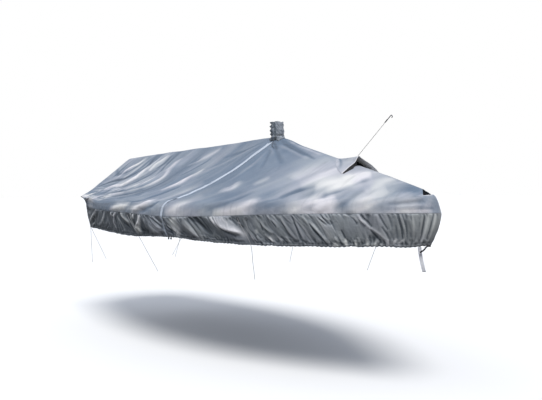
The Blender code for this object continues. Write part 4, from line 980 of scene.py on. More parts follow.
def make_finishes():
    return {
        # A cloth's light colour is where its painted light and bleach lead; a share of its dark colour,
        # where its painted shade and soil lead.
        "top_cloth": cover_cloth("top_cloth", (0.150, 0.206, 0.286), (0.79, 0.785, 0.77),
                                 (0.115, 0.162, 0.232), 0.46),
        "skirt_cloth": cover_cloth("skirt_cloth", (0.156, 0.192, 0.240), (0.86, 0.875, 0.85),
                                   (0.108, 0.132, 0.158), 0.42),
        "collar_cloth": cover_cloth("collar_cloth", (0.20, 0.235, 0.275), (0.42, 0.45, 0.50),
                                    (0.14, 0.17, 0.20), 0.52),
        "white_webbing": webbing("white_webbing", (0.62, 0.69, 0.79), (0.40, 0.45, 0.54)),
        "strap_webbing": webbing("strap_webbing", (0.85, 0.86, 0.90), (0.60, 0.61, 0.68)),
        "light_cord": braid("light_cord", (0.48, 0.48, 0.50), (0.24, 0.24, 0.25)),
        "grey_cord": braid("grey_cord", (0.10, 0.105, 0.11), (0.03, 0.032, 0.035)),
        "dark_cord": braid("dark_cord", (0.035, 0.036, 0.042), (0.008, 0.008, 0.010)),
        "thread": hard("thread", (0.30, 0.33, 0.37), (0.40, 0.43, 0.48), 0.8),
        "black_mesh": braid("black_mesh", (0.012, 0.012, 0.014), (0.002, 0.002, 0.002), 180.0),
        "black_plastic": hard("black_plastic", (0.014, 0.014, 0.015), (0.05, 0.05, 0.052), 0.42),
        "ring_metal": hard("ring_metal", (0.16, 0.16, 0.17), (0.34, 0.34, 0.35), 0.38, 1.0),
    }


# ---------------------------------------------------------------- making pieces
FINE = "_fine"               # ends the name of each piece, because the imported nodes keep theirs


def take(made, finish, node=None):
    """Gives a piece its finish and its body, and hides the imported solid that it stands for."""
    made.data.materials.append(FINISHES[finish])
    bpy.context.collection.objects.link(made)
    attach(made, "root")
    if node:
        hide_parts(node)
    return made


def mesh_piece(name, verts, faces, layers=(), weld=False, turned=True):
    """A smooth mesh with its layers of numbers (one a point) or places (three a point). `turned`
    makes its faces agree, facing out."""
    mesh = bpy.data.meshes.new(name + FINE)
    mesh.from_pydata(verts.reshape(-1, 3).tolist(), [], faces)
    for layer, values in dict(layers).items():
        flat = np.asarray(values, np.float32)
        vector = flat.ndim > 1
        stored = mesh.attributes.new(layer, "FLOAT_VECTOR" if vector else "FLOAT", "POINT")
        stored.data.foreach_set("vector" if vector else "value", flat.ravel())
    if turned:
        form = bmesh.new()
        form.from_mesh(mesh)
        bmesh.ops.delete(form, geom=[vert for vert in form.verts if not vert.link_faces], context="VERTS")
        if weld:
            bmesh.ops.remove_doubles(form, verts=form.verts, dist=1e-5)
        bmesh.ops.recalc_face_normals(form, faces=form.faces)
        form.to_mesh(mesh)
        form.free()
    mesh.shade_smooth()
    return bpy.data.objects.new(name + FINE, mesh)


def quads(index):
    return joined(index[:-1, :-1], index[1:, :-1], index[1:, 1:], index[:-1, 1:])


def sheet(name, points, fabric, finish,
          thickness=THIN_CLOTH, keep=None, weld=False, bleach_and_painted_light=0, painted_shade_and_soil=0, loop=False, stitched=None):
    """A grid of points along the middle of a cloth, thickened both ways.
    `stitched` names the rows of stitches along its long edges."""
    shape = points.shape[:2]
    index = np.arange(shape[0] * shape[1]).reshape(shape)
    if loop:
        index = np.concatenate([index, index[:, :1]], axis=1)
    faces = quads(index)
    faces = (faces.reshape(-1, 4) if keep is None else faces[keep]).tolist()
    places = np.zeros((*shape, 3))
    places[..., :2] = fabric
    layers = {"fabric": places.reshape(-1, 3)}
    # the two colour layers: painted light (dappled sunlight, highlights) with some bleach, and painted shade
    # (creases, hollows, the side away from the light) with some soil
    for layer, values in (("bleach_and_painted_light", bleach_and_painted_light), ("painted_shade_and_soil", painted_shade_and_soil)):
        layers[layer] = np.broadcast_to(clamp(values), shape).ravel()
    made = take(mesh_piece(name, points, faces, layers, weld), finish, name)
    thicken = made.modifiers.new("Thickness", "SOLIDIFY")
    thicken.thickness = thickness
    thicken.offset = 0.0
    pieces = [stitch_edges(stitched, points)] if stitched else []


def tube(name, line, radius, finish, sides, closed=False):
    """Round wire or a turned piece along a line, with closed ends."""
    line = np.asarray(line, float)
    ahead = np.roll(line, -1, axis=0) - np.roll(line, 1, axis=0)
    if not closed:
        ahead[0], ahead[-1] = line[1] - line[0], line[-1] - line[-2]
    ahead = unit_rows(ahead)
    across = [np.cross(ahead[0], (0.31, 0.22, 0.93))]
    for step in ahead:
        across.append(unit_rows(across[-1] - step * (across[-1] @ step)))
    across = np.array(across[1:])
    turn = np.linspace(0, 2 * math.pi, sides, endpoint=False)[:, None]
    ring = across[:, None] * np.cos(turn) + np.cross(ahead, across)[:, None] * np.sin(turn)
    index = np.arange(len(line) * sides).reshape(-1, sides)
    around = np.concatenate([index, index[:, :1]], axis=1)
    if closed:
        around = np.concatenate([around, around[:1]])
    ends = [] if closed else index[[0, -1]].tolist()
    faces = quads(around).reshape(-1, 4).tolist() + ends
    points = line[:, None] + ring * np.reshape(radius, (-1, 1, 1))
    return take(mesh_piece(name, points, faces), finish, name)


def cord(name, points, diameter, finish):
    """A free cord, as one open spline."""
    curve = bpy.data.curves.new(name + FINE, "CURVE")
    curve.dimensions = "3D"
    curve.bevel_depth = diameter / 2
    curve.bevel_resolution = 3
    curve.use_fill_caps = True
    line = curve.splines.new("POLY")
    line.points.add(len(points) - 1)
    for place, point in zip(line.points, points):
        place.co = (*map(float, point), 1.0)
    line.use_smooth = True
    return take(bpy.data.objects.new(name + FINE, curve), finish, name)


STITCH, STITCH_PITCH, STITCH_SHARE = 0.0005, 0.0035, 0.62     # half thickness, from one to the next, length
STITCH_INSET = 0.004


def stitches(name, lines):
    """Rows of thread: one small spindle for each stitch, along lines of (points, normals)."""
    verts = []
    for points, normals in lines:
        run = run_along(points)
        centres = np.arange(STITCH_PITCH / 2, run[-1] - STITCH_PITCH / 2, STITCH_PITCH)
        half = STITCH_PITCH * STITCH_SHARE / 2

        def read(values, at):
            return joined(*(np.interp(at, run, part) for part in values.T))

        place, front, back = (read(points, centres + shift) for shift in (0, half, -half))
        normal = unit_rows(read(normals, centres))
        side = unit_rows(np.cross(front - back, normal)) * STITCH
        lift = normal * STITCH
        verts.append(np.stack([back - lift * 0.4, place + side, place + lift, place - side, place - lift,
                               front - lift * 0.4], axis=1).reshape(-1, 3))
    verts = np.concatenate(verts)
    spindle = [face for k in (1, 2, 3, 4) for face in ((0, k % 4 + 1, k), (5, k, k % 4 + 1))]
    faces = (np.arange(0, len(verts), 6)[:, None, None] + spindle).reshape(-1, 3).tolist()
    return take(mesh_piece(name, verts, faces, turned=False), "thread")


def stitch_edges(name, points):
    """A row of stitches along both long edges of a strip."""
    last = points.shape[1] - 1
    at = STITCH_INSET / np.linalg.norm(points[:, -1] - points[:, 0], axis=1).mean() * last
    low, part = int(at), at - int(at)
    normal = unit_rows(np.cross(np.gradient(points, axis=0), np.gradient(points, axis=1)))
    outward = normal[..., 2] + np.sign(points[..., 1]) * normal[..., 1]
    normal = normal * np.sign(outward)[..., None]
    lines = []
    for first, second in ((low, low + 1), (last - low, last - 1 - low)):
        line, way = (grid[:, first] * (1 - part) + grid[:, second] * part for grid in (points, normal))
        lines.append((line + way * (WEBBING / 2 + 0.0002), way))
    return stitches(name, lines)


def between(lines, cells):
    """Numbers from line to line, each stretch split into that many cells."""
    parts = [np.linspace(a, b, n, endpoint=False) for a, b, n in zip(lines[:-1], lines[1:], cells)]
    return np.concatenate([*parts, [lines[-1]]])


# ---------------------------------------------------------------- top panels
V_LINES = (0, HOLE_V, VENT_HOLE_V[1], SHROUD_V, NOTCH_V, 1.985, 2.0)
V_CELLS = (6, 10, 58, 6, 14, 1)
HALF_V = between(V_LINES, V_CELLS)
BOTH_V = np.concatenate([-HALF_V[:0:-1], HALF_V])
CELL_V = np.abs(BOTH_V[1:] + BOTH_V[:-1]) / 2
SLIT_REACH = 0.055           # the shroud's slit closes this far above and below it, as v
CLOSURE_ROWS = 7


def closure_edge(direction):
    """The panel's edge along the closure, with the slit that the shroud comes out of."""
    open_share = clamp(1 - np.abs(np.abs(BOTH_V) - SHROUD_V) / SLIT_REACH)
    return closure_u(direction * (BUTT + SHROUD_GAP * open_share), at_v=BOTH_V)


def top_panel(name, u_values, edge_rows, cut, weld=False):
    u = np.broadcast_to(u_values[:, None], (len(u_values), len(BOTH_V)))
    u = np.concatenate([edge_rows[0], u, edge_rows[1]], axis=0)
    v = near_mast_v(u, np.broadcast_to(BOTH_V, u.shape))
    keep = np.ones((len(u) - 1, len(CELL_V)), bool)
    centre = (u[1:, len(HALF_V)] + u[:-1, len(HALF_V)]) / 2
    for low, high, half_v in cut:
        rows = (centre > low) & (centre < high)
        keep[np.ix_(rows, CELL_V < half_v)] = False
    fabric = top_fabric(u, v)
    relief = top_relief(u, v)
    points = top_point(u, v) + top_normal(u, v) * relief[..., None]
    bleach_and_painted_light, painted_shade_and_soil = top_painted_light_and_shade(u, v, fabric, hollows(relief) / CRISP["top"])
    sheet(name, points, fabric, "top_cloth", keep=keep, weld=weld,
          bleach_and_painted_light=bleach_and_painted_light, painted_shade_and_soil=painted_shade_and_soil)


def top_painted_light_and_shade(u, v, fabric, crisp):
    """Painted light and shade on the top: painted dappled sunlight in patches and streaks, painted
    highlights on its crests and above the seam, painted shade in its creases, between patches and along its
    lower edge.
    """
    flat, lines = top_plan(u, v), fan(u, v)
    # painted dappled sunlight, highlights and shade, from their tables
    painted_light = by_side(v, lambda mine, side: strokes(flat[mine], PAINTED_LIGHT[side], top_plan, 0.0)) * PATCH_SHARE
    # streaks of painted light along the fold lines, breaking up the painted sunlight
    streak = patchy(lines + joined(0, PORT_ROW * (v > 0)), (0.16, 1.1), 62)
    streak = 0.5 * streak + 0.3 * patchy(fabric, (0.16, 0.12), 63)
    after = clamp((MAST - 1 - u) / 1.5)
    streak += 0.4 * after * patchy(lines + joined(0, 70 * (v > 0)), (0.05, 0.7), 64)
    # painted sunlight along the whole top, rib by rib
    over, below = (np.interp(u, column(PAINTED_SUNLIGHT, PAINTED_SUNLIGHT_COLUMNS, "rib"), column(PAINTED_SUNLIGHT, PAINTED_SUNLIGHT_COLUMNS, name))
                   for name in PAINTED_SUNLIGHT_COLUMNS[1:])
    share = clamp((np.abs(v) - 0.6) / 0.8)
    fade = over + (below - over) * share
    base = top_point(u, v)
    # the relief of creases and folds: painted highlight on crests, painted shade in troughs
    crest = top_creases(u, v) / 0.016 + top_folds(base[..., 0], base[..., 1]) / 0.030
    # painted shade along the lower edge, by the seam
    edge = clamp((np.abs(v) - 1.80) / 0.16) * (0.5 + 0.5 * patchy(fabric, (0.05, 0.3), 65))
    # painted light just above the seam, ahead of the mast
    by_seam = clamp((np.abs(v) - 1.60) / 0.28) * clamp((u - MAST) / 0.4)
    by_seam = by_seam * np.interp(u, (7.0, 8.6), (1.5, 0.7))
    bleach_and_painted_light = painted_light * (0.85 + 0.35 * streak) + fade * (1 + 0.7 * streak) + 0.25 * crest
    # painted highlight on crests and painted shade in creases, stronger aft
    crisp = np.clip(crisp, -1, 1) * (0.25 + 0.75 * after)
    bleach_and_painted_light += (0.08 + 0.10 * after) * streak + 0.05 * after + 0.16 * crisp
    painted_shade_and_soil = -0.5 * crest - 0.3 * painted_light - 0.10 * after * streak - 0.22 * crisp + 0.06 * edge
    painted_shade_and_soil = painted_shade_and_soil - 0.5 * np.minimum(painted_light, 0)
    return bleach_and_painted_light * (1 - 0.1 * edge) + by_seam * (0.15 + 0.25 * np.maximum(painted_light, 0)), painted_shade_and_soil


def top_panels():
    none = np.zeros((0, len(BOTH_V)))
    share = np.linspace(0, 1, CLOSURE_ROWS + 1)[1:, None]
    aft_edge, fore_edge = closure_edge(-1), closure_edge(1)
    aft = between((STERN, 0.004, 0.6, HOLE_AFT_U), (1, 56, 158))
    rows = HOLE_AFT_U + (aft_edge - HOLE_AFT_U) * share
    top_panel("top_aft", aft, (none, rows), [(HOLE_AFT_U, MAST, HOLE_V)])
    fore = between((HOLE_FORE_U, *VENT_U, NOTCH_U, STEM), (58, 8, 8, 8, 74, 16))
    rows = fore_edge + (HOLE_FORE_U - fore_edge) * (share - share[0]) / (1 - share[0])
    cut = [(MAST, HOLE_FORE_U, HOLE_V), (VENT_U[1], VENT_U[2], VENT_HOLE_V[0]),
           (VENT_U[2], VENT_U[3], VENT_HOLE_V[1]), (NOTCH_U, STEM, NOTCH_V)]
    top_panel("top_fore", fore, (rows[:-1], none), cut, weld=True)


STERN_TUCK, STERN_BELLY = 0.003, 0.030


def stern_panel():
    """The near-vertical end under the boom end."""
    down = between((HOLE_V, 1.0, 2.0), (40, 14))
    across = np.linspace(-1, 1, 81)
    edge = top_point(STERN, down)
    run = unit_rows(np.gradient(edge[:, 1:], axis=0))
    inset = (CLOTH / 2 + 2.3 * GAP) * joined(0, run[:, 1], -run[:, 0])
    corner = edge + inset + np.array([STERN_TUCK, 0, 0])
    belly = STERN_BELLY * np.minimum(down, 1)[:, None] * (1 - across ** 2)
    x = corner[:, :1] - belly
    y = corner[:, 1:2] * across
    z = corner[:, 2:]
    flat = joined(y, z)
    fall = 0.006 * patchy(flat * (1, 0.35), (0.10, 0.16), 41) + 0.0015 * patchy(flat, (0.05, 0.05), 42)
    x = x - fall * (1 - across ** 2) * np.clip(down - HOLE_V, 0, 0.2)[:, None] * 5
    bleach_and_painted_light = 0.25 + 0.25 * patchy(flat, (0.3, 0.2), 43)
    sheet("stern_panel", joined(x, y, z), flat, "top_cloth",
          bleach_and_painted_light=bleach_and_painted_light)


# ---------------------------------------------------------------- skirt
SEAM_DROP = -0.0010 * UP
SKIRT_W = between((0, 0.006, 0.994, 1), (1, 44, 1))
SKIRT_CELL = 0.0052


def skirt_cloth_points(u, side):
    """The fine skirt at rib numbers `u`, from seam to hem."""
    w = np.broadcast_to(SKIRT_W, (len(u), len(SKIRT_W)))
    wide_u = np.broadcast_to(u[:, None], w.shape)
    g = girth(wide_u)
    relief = skirt_relief(g, w, side)
    points = skirt_point(wide_u, w, side) + skirt_normal(wide_u, w, side) * relief[..., None] + SEAM_DROP
    scallop = np.cos(2 * math.pi * g / HEM_PITCH + 1.2) * 0.6 + patchy(joined(g, side), (0.06, 1), 51)
    points[..., 2] += 0.0030 * scallop * w ** 6 * clamp(tie_hold(g, w) * 2)
    return points, skirt_plan(g, w), hollows(relief) / CRISP["skirt"]


def skirt_painted_light_and_shade(fabric, side, crisp):
    """Painted light and shade on the skirt: painted highlights on its crests, crumples and hem, painted
    light at the bow and towards it, painted shade in its creases and towards the stern.
    """
    g, down = fabric[..., 0], fabric[..., 1]
    streak = patchy(fabric * (1, 0.3) + (0, side), (0.05, 0.2), 61) * 0.5 + 0.5
    w = clamp(down / down[..., -1:])
    # the relief of creases and folds: painted highlight on crests, painted shade in troughs
    crest = skirt_creases(fabric, side) / 0.014 + skirt_folds(g, w) / 0.050
    # painted highlights and shadows, from their table
    painted_light = PATCH_SHARE * strokes(fabric, SIDE_PAINTED_LIGHT[side], skirt_plan, 0.0)
    # painted light at the bow and lighter towards it, painted shade towards the stern
    bow = clamp(1 - g / 0.30)
    fade = np.interp(g, (0, 1.3, 2.2, 3.0, 4.8), (0.22, 0.16, 0.11, 0.03, 0.02))
    stern = np.interp(g, (2.3, 3.0, 4.8), (0.0, 0.35, 0.45))
    # painted highlight on crests and painted shade in creases
    pale, crisp = np.maximum(painted_light, 0), np.clip(crisp, -1, 1)
    bleach_and_painted_light = fade + 0.06 * streak + 0.11 * bow + 0.18 * crest + pale + 0.10 * crisp
    return bleach_and_painted_light, stern - 0.42 * crest - painted_light - 0.3 * pale - 0.45 * crisp


def skirt_strips():
    edge = [float(girth(closure_u(sign * BUTT))) for sign in (-1, 1)]
    ends = {"aft": (float(girth(STERN)), edge[0]), "fore": (edge[1], 0.0)}
    for part, (first, last) in ends.items():
        count = int(abs(first - last) / SKIRT_CELL) + 1
        u = rib_at_girth(np.linspace(first, last, count))
        for label, side in SIDES.items():
            points, fabric, crisp = skirt_cloth_points(u, side)
            points[..., 1] = side * np.maximum(side * points[..., 1], THIN_CLOTH)
            bleach_and_painted_light, painted_shade_and_soil = skirt_painted_light_and_shade(fabric, side, crisp)
            sheet(f"skirt_{part}_{label}", points, fabric, "skirt_cloth",
                  bleach_and_painted_light=bleach_and_painted_light, painted_shade_and_soil=painted_shade_and_soil)


SKIRT_BELLY = 0.020


def stern_skirt():
    across = np.linspace(-1, 1, 151)
    corner = skirt_point(STERN, SKIRT_W, PORT) + 0.7 * SEAM_DROP
    half = corner[:, 1] - CLOTH / 2 - GAP - 0.001
    y = half[:, None] * across
    z = corner[:, 2, None]
    flat = joined(y, corner[0, 2] - z)
    down = flat[..., 1]
    to_hem = down[-1:] - down
    out = 0.004 * patchy(flat, (0.09, 0.30), 71) + 0.0015 * patchy(flat, (0.03, 0.12), 72)
    gather = hem_gathers(y + 0.01 * patchy(flat, (0.07, 1), 73))
    out += 0.004 * gather * near_hem(to_hem)
    inside = (1 - across ** 2) ** 0.5 * clamp(down / 0.02)
    x = corner[:, 0, None] + STERN_TUCK + 0.001 - SKIRT_BELLY * (1 - across ** 2) - out * inside
    z = z + 0.003 * gather * (down / down[-1:]) ** 6 * inside
    # painted shade over the whole stern skirt, as on the side skirts towards the stern, with a little random
    # tone
    sheet("skirt_stern", joined(x, y, z), flat, "skirt_cloth",
          bleach_and_painted_light=0.1 * patchy(flat, (0.1, 0.2), 74), painted_shade_and_soil=0.3)


# ---------------------------------------------------------------- closure
TAPE_LIFT = CLOTH / 2 + GAP + WEBBING / 2
TAPE_SHARES = np.linspace(-0.5, 0.5, 9)  # places across a tape


def tape(name, points, middle, width):
    """A strip of webbing whose rows run across the closure, stitched along both edges."""
    fabric = joined(run_along(middle)[:, None], TAPE_SHARES * width)
    sheet(f"closure_tape_{name}", points, fabric, "white_webbing",
          thickness=WEBBING, stitched=f"stitching_{name}")


def closure_tapes():
    for label, side in SIDES.items():
        v = np.linspace(TAPE_START_V, SHROUD_V - TAPE_PARTING_V, 90)
        bends = TAPE_BEND * bump(v - TAPE_BEND_V, TAPE_BEND_REACH)
        u = np.array([closure_u(UPPER_TAPE * TAPE_SHARES + bent, at) for at, bent in zip(v, bends)])
        points = on_top(u, side * near_mast_v(u, v[:, None]), TAPE_LIFT)
        tape(f"upper_{label}", points, points.mean(axis=1), UPPER_TAPE)
        lift = TAPE_LIFT + GAP / 2
        v = np.linspace(SHROUD_V + TAPE_PARTING_V, 2.0, 26)
        u = np.array([closure_u(LOWER_TAPE * TAPE_SHARES, at) for at in v])
        upper = on_top(u, side * v[:, None], lift)
        u, w = np.broadcast_arrays(closure_u(LOWER_TAPE * TAPE_SHARES), np.linspace(0, 1, 31)[1:, None])
        lower = skirt_point(u, w, side) + skirt_normal(u, w, side) * lift + SEAM_DROP
        points = np.concatenate([upper, lower])
        tape(f"lower_{label}", points, points[:, 4], LOWER_TAPE)


def closure_toggles():
    """Two toggles on the hem's shock cord, at the foot of each closure."""
    radius, length = 0.006, 0.018
    profile = ((-0.5, 0.45), (-0.47, 0.68), (-0.38, 0.92), (-0.2, 1.0), (0.2, 0.96), (0.38, 0.92),
               (0.47, 0.68), (0.5, 0.45))
    for label, side in SIDES.items():
        for number, (offset, lean) in enumerate(((0.004, 0.1), (0.036, 0.5)), 1):
            hem = skirt_point(closure_u(offset), 1.0, side) + SEAM_DROP
            axis = unit_rows(np.array([lean, 0.15 * side, -1.0]))
            centre = hem + axis * (length / 2 + GAP) - UP * CLOTH
            line = [centre + axis * at * length for at, _ in profile]
            tube(f"closure_toggle_{label}_{number}", line, [size * radius for _, size in profile],
                 "black_plastic", 20)


# ---------------------------------------------------------------- mast sleeve
SLEEVE_HEIGHT = 0.145
MAST_RAKE = 0.069
LACED_EDGE = math.radians(-124)
SLEEVE_ROWS = np.array([                 # height, radius, and the pleats' depth as a share of it
    (0.020, 0.0520, 0.10), (0.036, 0.0480, 0.06), (0.060, 0.0500, 0.05), (SLEEVE_HEIGHT, 0.0455, 0.05),
])
ROUND = 0.054                # metres round the sleeve for each radian
FOOT_ROWS = 6                # rows of cloth under its first height
RUFFLES = 190                # radians of the laced edge's ruffle for each metre up
RUFFLE, GATHER, LASHED = 0.0060, 0.0034, 0.0012          # depths
SLEEVE_PLEATS = (0.0030, (0.024, 0.05), 83), (0.0014, (0.010, 0.03), 84)
LASHING_HEIGHT = 0.036
LASHING = 0.004


def hole_ring():
    """The edge of the mast hole, anticlockwise seen from above, as (u, v)."""
    aft, fore = (float(closure_u(sign * UPPER_TAPE / 2, at_v=HOLE_V)) for sign in (-1, 1))
    port = [(HOLE_FORE_U, 0), (HOLE_FORE_U, HOLE_V / 2), (HOLE_FORE_U, HOLE_V), (fore, HOLE_V),
            (aft, HOLE_V), (HOLE_AFT_U, HOLE_V), (HOLE_AFT_U, HOLE_V / 2), (HOLE_AFT_U, 0)]
    starboard = [(u, -v) for u, v in port[-2:0:-1]]
    return np.array(port + starboard)


def from_lacing(turn):
    return np.arctan2(np.sin(turn - LACED_EDGE), np.cos(turn - LACED_EDGE))


def round_mast(turn, out, height):
    """Places round the leaning mast at a height."""
    return joined(-MAST_RAKE * height + out * np.cos(turn), out * np.sin(turn), height)


def sleeve_radius(turn, radius, pleats):
    laced = bell(from_lacing(turn), 0.22)
    return radius * (1 + pleats * (0.6 * np.cos(5 * turn + 1) + 0.4 * np.cos(8 * turn))) + 0.011 * laced


def sleeve_foot(split):
    """The sleeve's lower edge, just above the edge of the mast hole."""
    ring = hole_ring()
    following = np.roll(ring, -1, axis=0)
    steps = np.linspace(0, 1, split, endpoint=False)
    ring = (ring[:, None] + (following - ring)[:, None] * steps[:, None]).reshape(-1, 2)
    foot = top_point(ring[:, 0], near_mast_v(ring[:, 0], ring[:, 1]))
    return foot + UP * (CLOTH + GAP + 0.0004)


def mast_sleeve():
    """Gathered under the lashing, pleated above it, ruffled along its laced edge."""
    foot = sleeve_foot(10)
    turn = np.arctan2(foot[:, 1], foot[:, 0])
    heights = between(SLEEVE_ROWS[:, 0], (5, 8, 34))
    rows = smooth_rows(SLEEVE_ROWS, np.interp(heights, SLEEVE_ROWS[:, 0], np.arange(4)))
    height, radius, pleats = rows[0]
    out = sleeve_radius(turn, radius, pleats)
    high = round_mast(turn, out, height)
    points = [foot + (high - foot) * share ** 1.1 for share in np.linspace(0, 1, FOOT_ROWS + 1)[:-1]]
    gathers = np.cos(23 * turn + 1.5 * np.sin(3 * turn)) * 0.6 + np.cos(31 * turn + 2) * 0.4
    away = from_lacing(turn)
    outs = [out] * len(points)
    for height, radius, pleats in rows:
        out = sleeve_radius(turn, radius, pleats)
        tight = bell(height - LASHING_HEIGHT, 0.012)
        loose = bell(height - LASHING_HEIGHT, 0.028) - tight
        out = out + GATHER * gathers * np.maximum(loose, 0) - LASHED * tight
        up = clamp((height - 0.06) / 0.085)
        slant = joined(ROUND * np.abs(away) + 0.7 * height, height)
        wide, narrow = (depth * ridged(slant, cell, seed) for depth, cell, seed in SLEEVE_PLEATS)
        out = out + wide * (0.3 + 0.7 * (1 - tight)) + narrow * (1 - tight)
        out = out + bell(away, 0.16) * RUFFLE * np.sin(height * RUFFLES)
        points.append(round_mast(turn, out, height))
        points[-1][:, 2] += 0.004 * up * np.cos(3 * turn + 2) * (height / SLEEVE_HEIGHT) ** 4
        outs.append(out)
    points = np.array(points)
    run = run_along(points[:, 0])
    fabric = joined(turn * ROUND, run[:, None])
    # painted highlight on the pleats' crests, painted shade in their hollows
    crisp = np.clip(hollows(np.array(outs), 2) / CRISP["sleeve"], -1, 1)
    # painted light on the side towards the light, painted shade on the other side
    painted_side_light = clamp(0.5 - 0.5 * np.cos(turn + 2.2))[None]
    # painted shade in the ruffle along the laced edge
    painted_ruffle_shade = bell(away, 0.30) * clamp(-1.5 * np.sin(run * RUFFLES - 2.5))[:, None]
    # darker over the foot rows, where the sleeve meets the top
    darker_foot = np.where(np.arange(len(points)) <= FOOT_ROWS, 0.35, 0.0)[:, None]
    sheet("mast_collar", points, fabric, "collar_cloth",
          loop=True,
          bleach_and_painted_light=0.8 * painted_side_light + 0.25 * patchy(fabric, (0.03, 0.02), 81) + 0.25 * crisp,
          painted_shade_and_soil=0.35 - 0.5 * painted_side_light + darker_foot - 0.5 * crisp + painted_ruffle_shade)


def collar_lashing():
    """Drawcord: one turn round the foot of the sleeve, and its end down the cloth."""
    _, radius, pleats = SLEEVE_ROWS[1]
    foot = sleeve_foot(2)
    turn = np.arctan2(foot[:, 1], foot[:, 0])
    first = int(np.argmin(np.abs(turn - math.radians(-50))))
    turn = np.roll(turn, -first)
    out = sleeve_radius(turn, radius, pleats)
    around = round_mast(turn, out, LASHING_HEIGHT)
    spoke = joined(np.cos(turn), np.sin(turn), 0)
    wound = around + spoke * (CLOTH / 2 + LASHING / 2 + 2.2 * GAP)
    tail_uv = np.array([(4.17, -0.115), (4.24, -0.125), (4.34, -0.14)])
    tail = top_point(tail_uv[:, 0], tail_uv[:, 1]) + np.array([0.002, -0.002, 0.006])
    hang = np.array([[0.040, -0.052, 0.030], [0.046, -0.066, 0.002]])
    route = np.concatenate([wound[:0:-1], hang, tail])
    points = smooth_route(route, 40)
    made = cord("collar_lashing", points, LASHING, "grey_cord")


# ---------------------------------------------------------------- vent
HOOD_LIFT = 0.067
HOOD_POINT_V, HOOD_MOUTH_V = 0.03, 0.36
HOOD_BRIM, HOOD_LIP = 0.40, 0.06         # how much further forward the mouth's two ends reach
MESH_TILT = 0.21             # how far forward the mesh's foot stands on the starboard side
HOOD_RISE = (
    (-1.00, 0.00), (-0.75, 0.09), (-0.50, 0.19), (-0.36, 0.27), (-0.17, 0.46), (0.00, 1.00),
    (0.12, 0.86), (0.30, 0.74), (0.50, 0.68), (0.75, 0.46), (1.00, 0.00),
)
MESH_AT, MESH_SET_BACK = 0.90, 0.20      # where it stands along the hood, and how far back its port half
MESH_ENDS = (-0.90, 0.88)
MESH_THICKNESS = 0.0008
HOOD_AIR = THIN_CLOTH + GAP


def vent_u(share):
    return VENT_U[0] + (VENT_U[-1] - VENT_U[0]) * share


def hood_half_v(s):
    return HOOD_POINT_V + (HOOD_MOUTH_V - HOOD_POINT_V) * s ** 0.9


def hood_point(s, t):
    """The hood: `s` 0 at its after point, 1 at the mouth; `t` -1..1 across."""
    reach = HOOD_BRIM * np.maximum(t, 0) + HOOD_LIP * clamp(-2 * t - 1)
    u = vent_u(s * (1 + s * reach))
    profile = smooth_route(HOOD_RISE, 80)
    rise = HOOD_LIFT * s ** 1.1 * np.interp(t, profile[:, 0], profile[:, 1])
    return on_top(u, t * hood_half_v(s), HOOD_AIR) + joined(0, 0, rise)


def vent():
    s, t = np.meshgrid(np.linspace(0, 1, 45), np.linspace(-1, 1, 61), indexing="ij")
    points = hood_point(s, t)
    fabric = joined(s * 0.23, t * (0.02 + 0.14 * s))
    sag = -0.004 * np.sin(math.pi * s) * (1 - t ** 2) * np.sin(math.pi * np.abs(t))
    points[..., 2] += sag + 0.0012 * patchy(fabric, (0.03, 0.03), 91) * (1 - t ** 2) * s
    # the rim of the mouth is lighter
    rim = clamp((s - 0.955) / 0.02)
    # painted light on the port half near the mouth, whose inner face is in shade
    painted_inner_light = clamp(s * 2 - 0.8) * clamp(t * 6)
    # painted shade along a crease on the starboard flank
    crease = bell(t + 0.75 - 0.9 * (0.62 - s), 0.16) * clamp((0.75 - s) * 4)
    sheet("vent_hood", points, fabric, "top_cloth",
          bleach_and_painted_light=0.50 + 0.2 * patchy(fabric, (0.08, 0.06), 92) + 0.5 * rim + 0.5 * painted_inner_light - 0.35 * crease,
          painted_shade_and_soil=0.12 * crease)
    across = np.linspace(*MESH_ENDS, 41)
    port = clamp(across / MESH_ENDS[1])
    at = MESH_AT - MESH_SET_BACK * np.sin(math.pi * port ** 0.7)
    behind_brim = 2 * at / (1 + np.sqrt(1 + 4 * HOOD_BRIM * at * np.maximum(across, 0)))
    roof = hood_point(behind_brim, across) - UP * (HOOD_AIR + 2 * GAP)
    floor = roof.copy()
    foot = at + MESH_TILT * clamp(-2.5 * across)
    u = vent_u(foot)
    v = across * hood_half_v(np.where(across < 0, foot, behind_brim))
    floor[across < 0] = top_point(u, v)[across < 0]
    floor[:, 2] = on_top(u, v)[:, 2] + CLOTH / 2 + 2 * GAP
    rise = np.linspace(0, 1, 13)[:, None, None]
    points = floor + (roof - floor) * rise
    fabric = joined(points[..., 1], points[..., 2])
    points[..., 0] += 0.003 * np.sin(math.pi * rise[..., 0]) * (1 - across ** 2)
    # A solid black sheet: black like the mesh, and solid so that it also paints the shade of the hollow
    # behind it.
    sheet("vent_mesh", points, fabric, "black_mesh",
          thickness=MESH_THICKNESS)


LIFT_TOP = np.array([1.352, 0.0, 0.114])
LIFT_CORD, LIFT_HOOK_WIRE = 0.003, 0.006
LIFT_HOOK_LENGTH, LIFT_HOOK_BEND = 0.085, 0.009


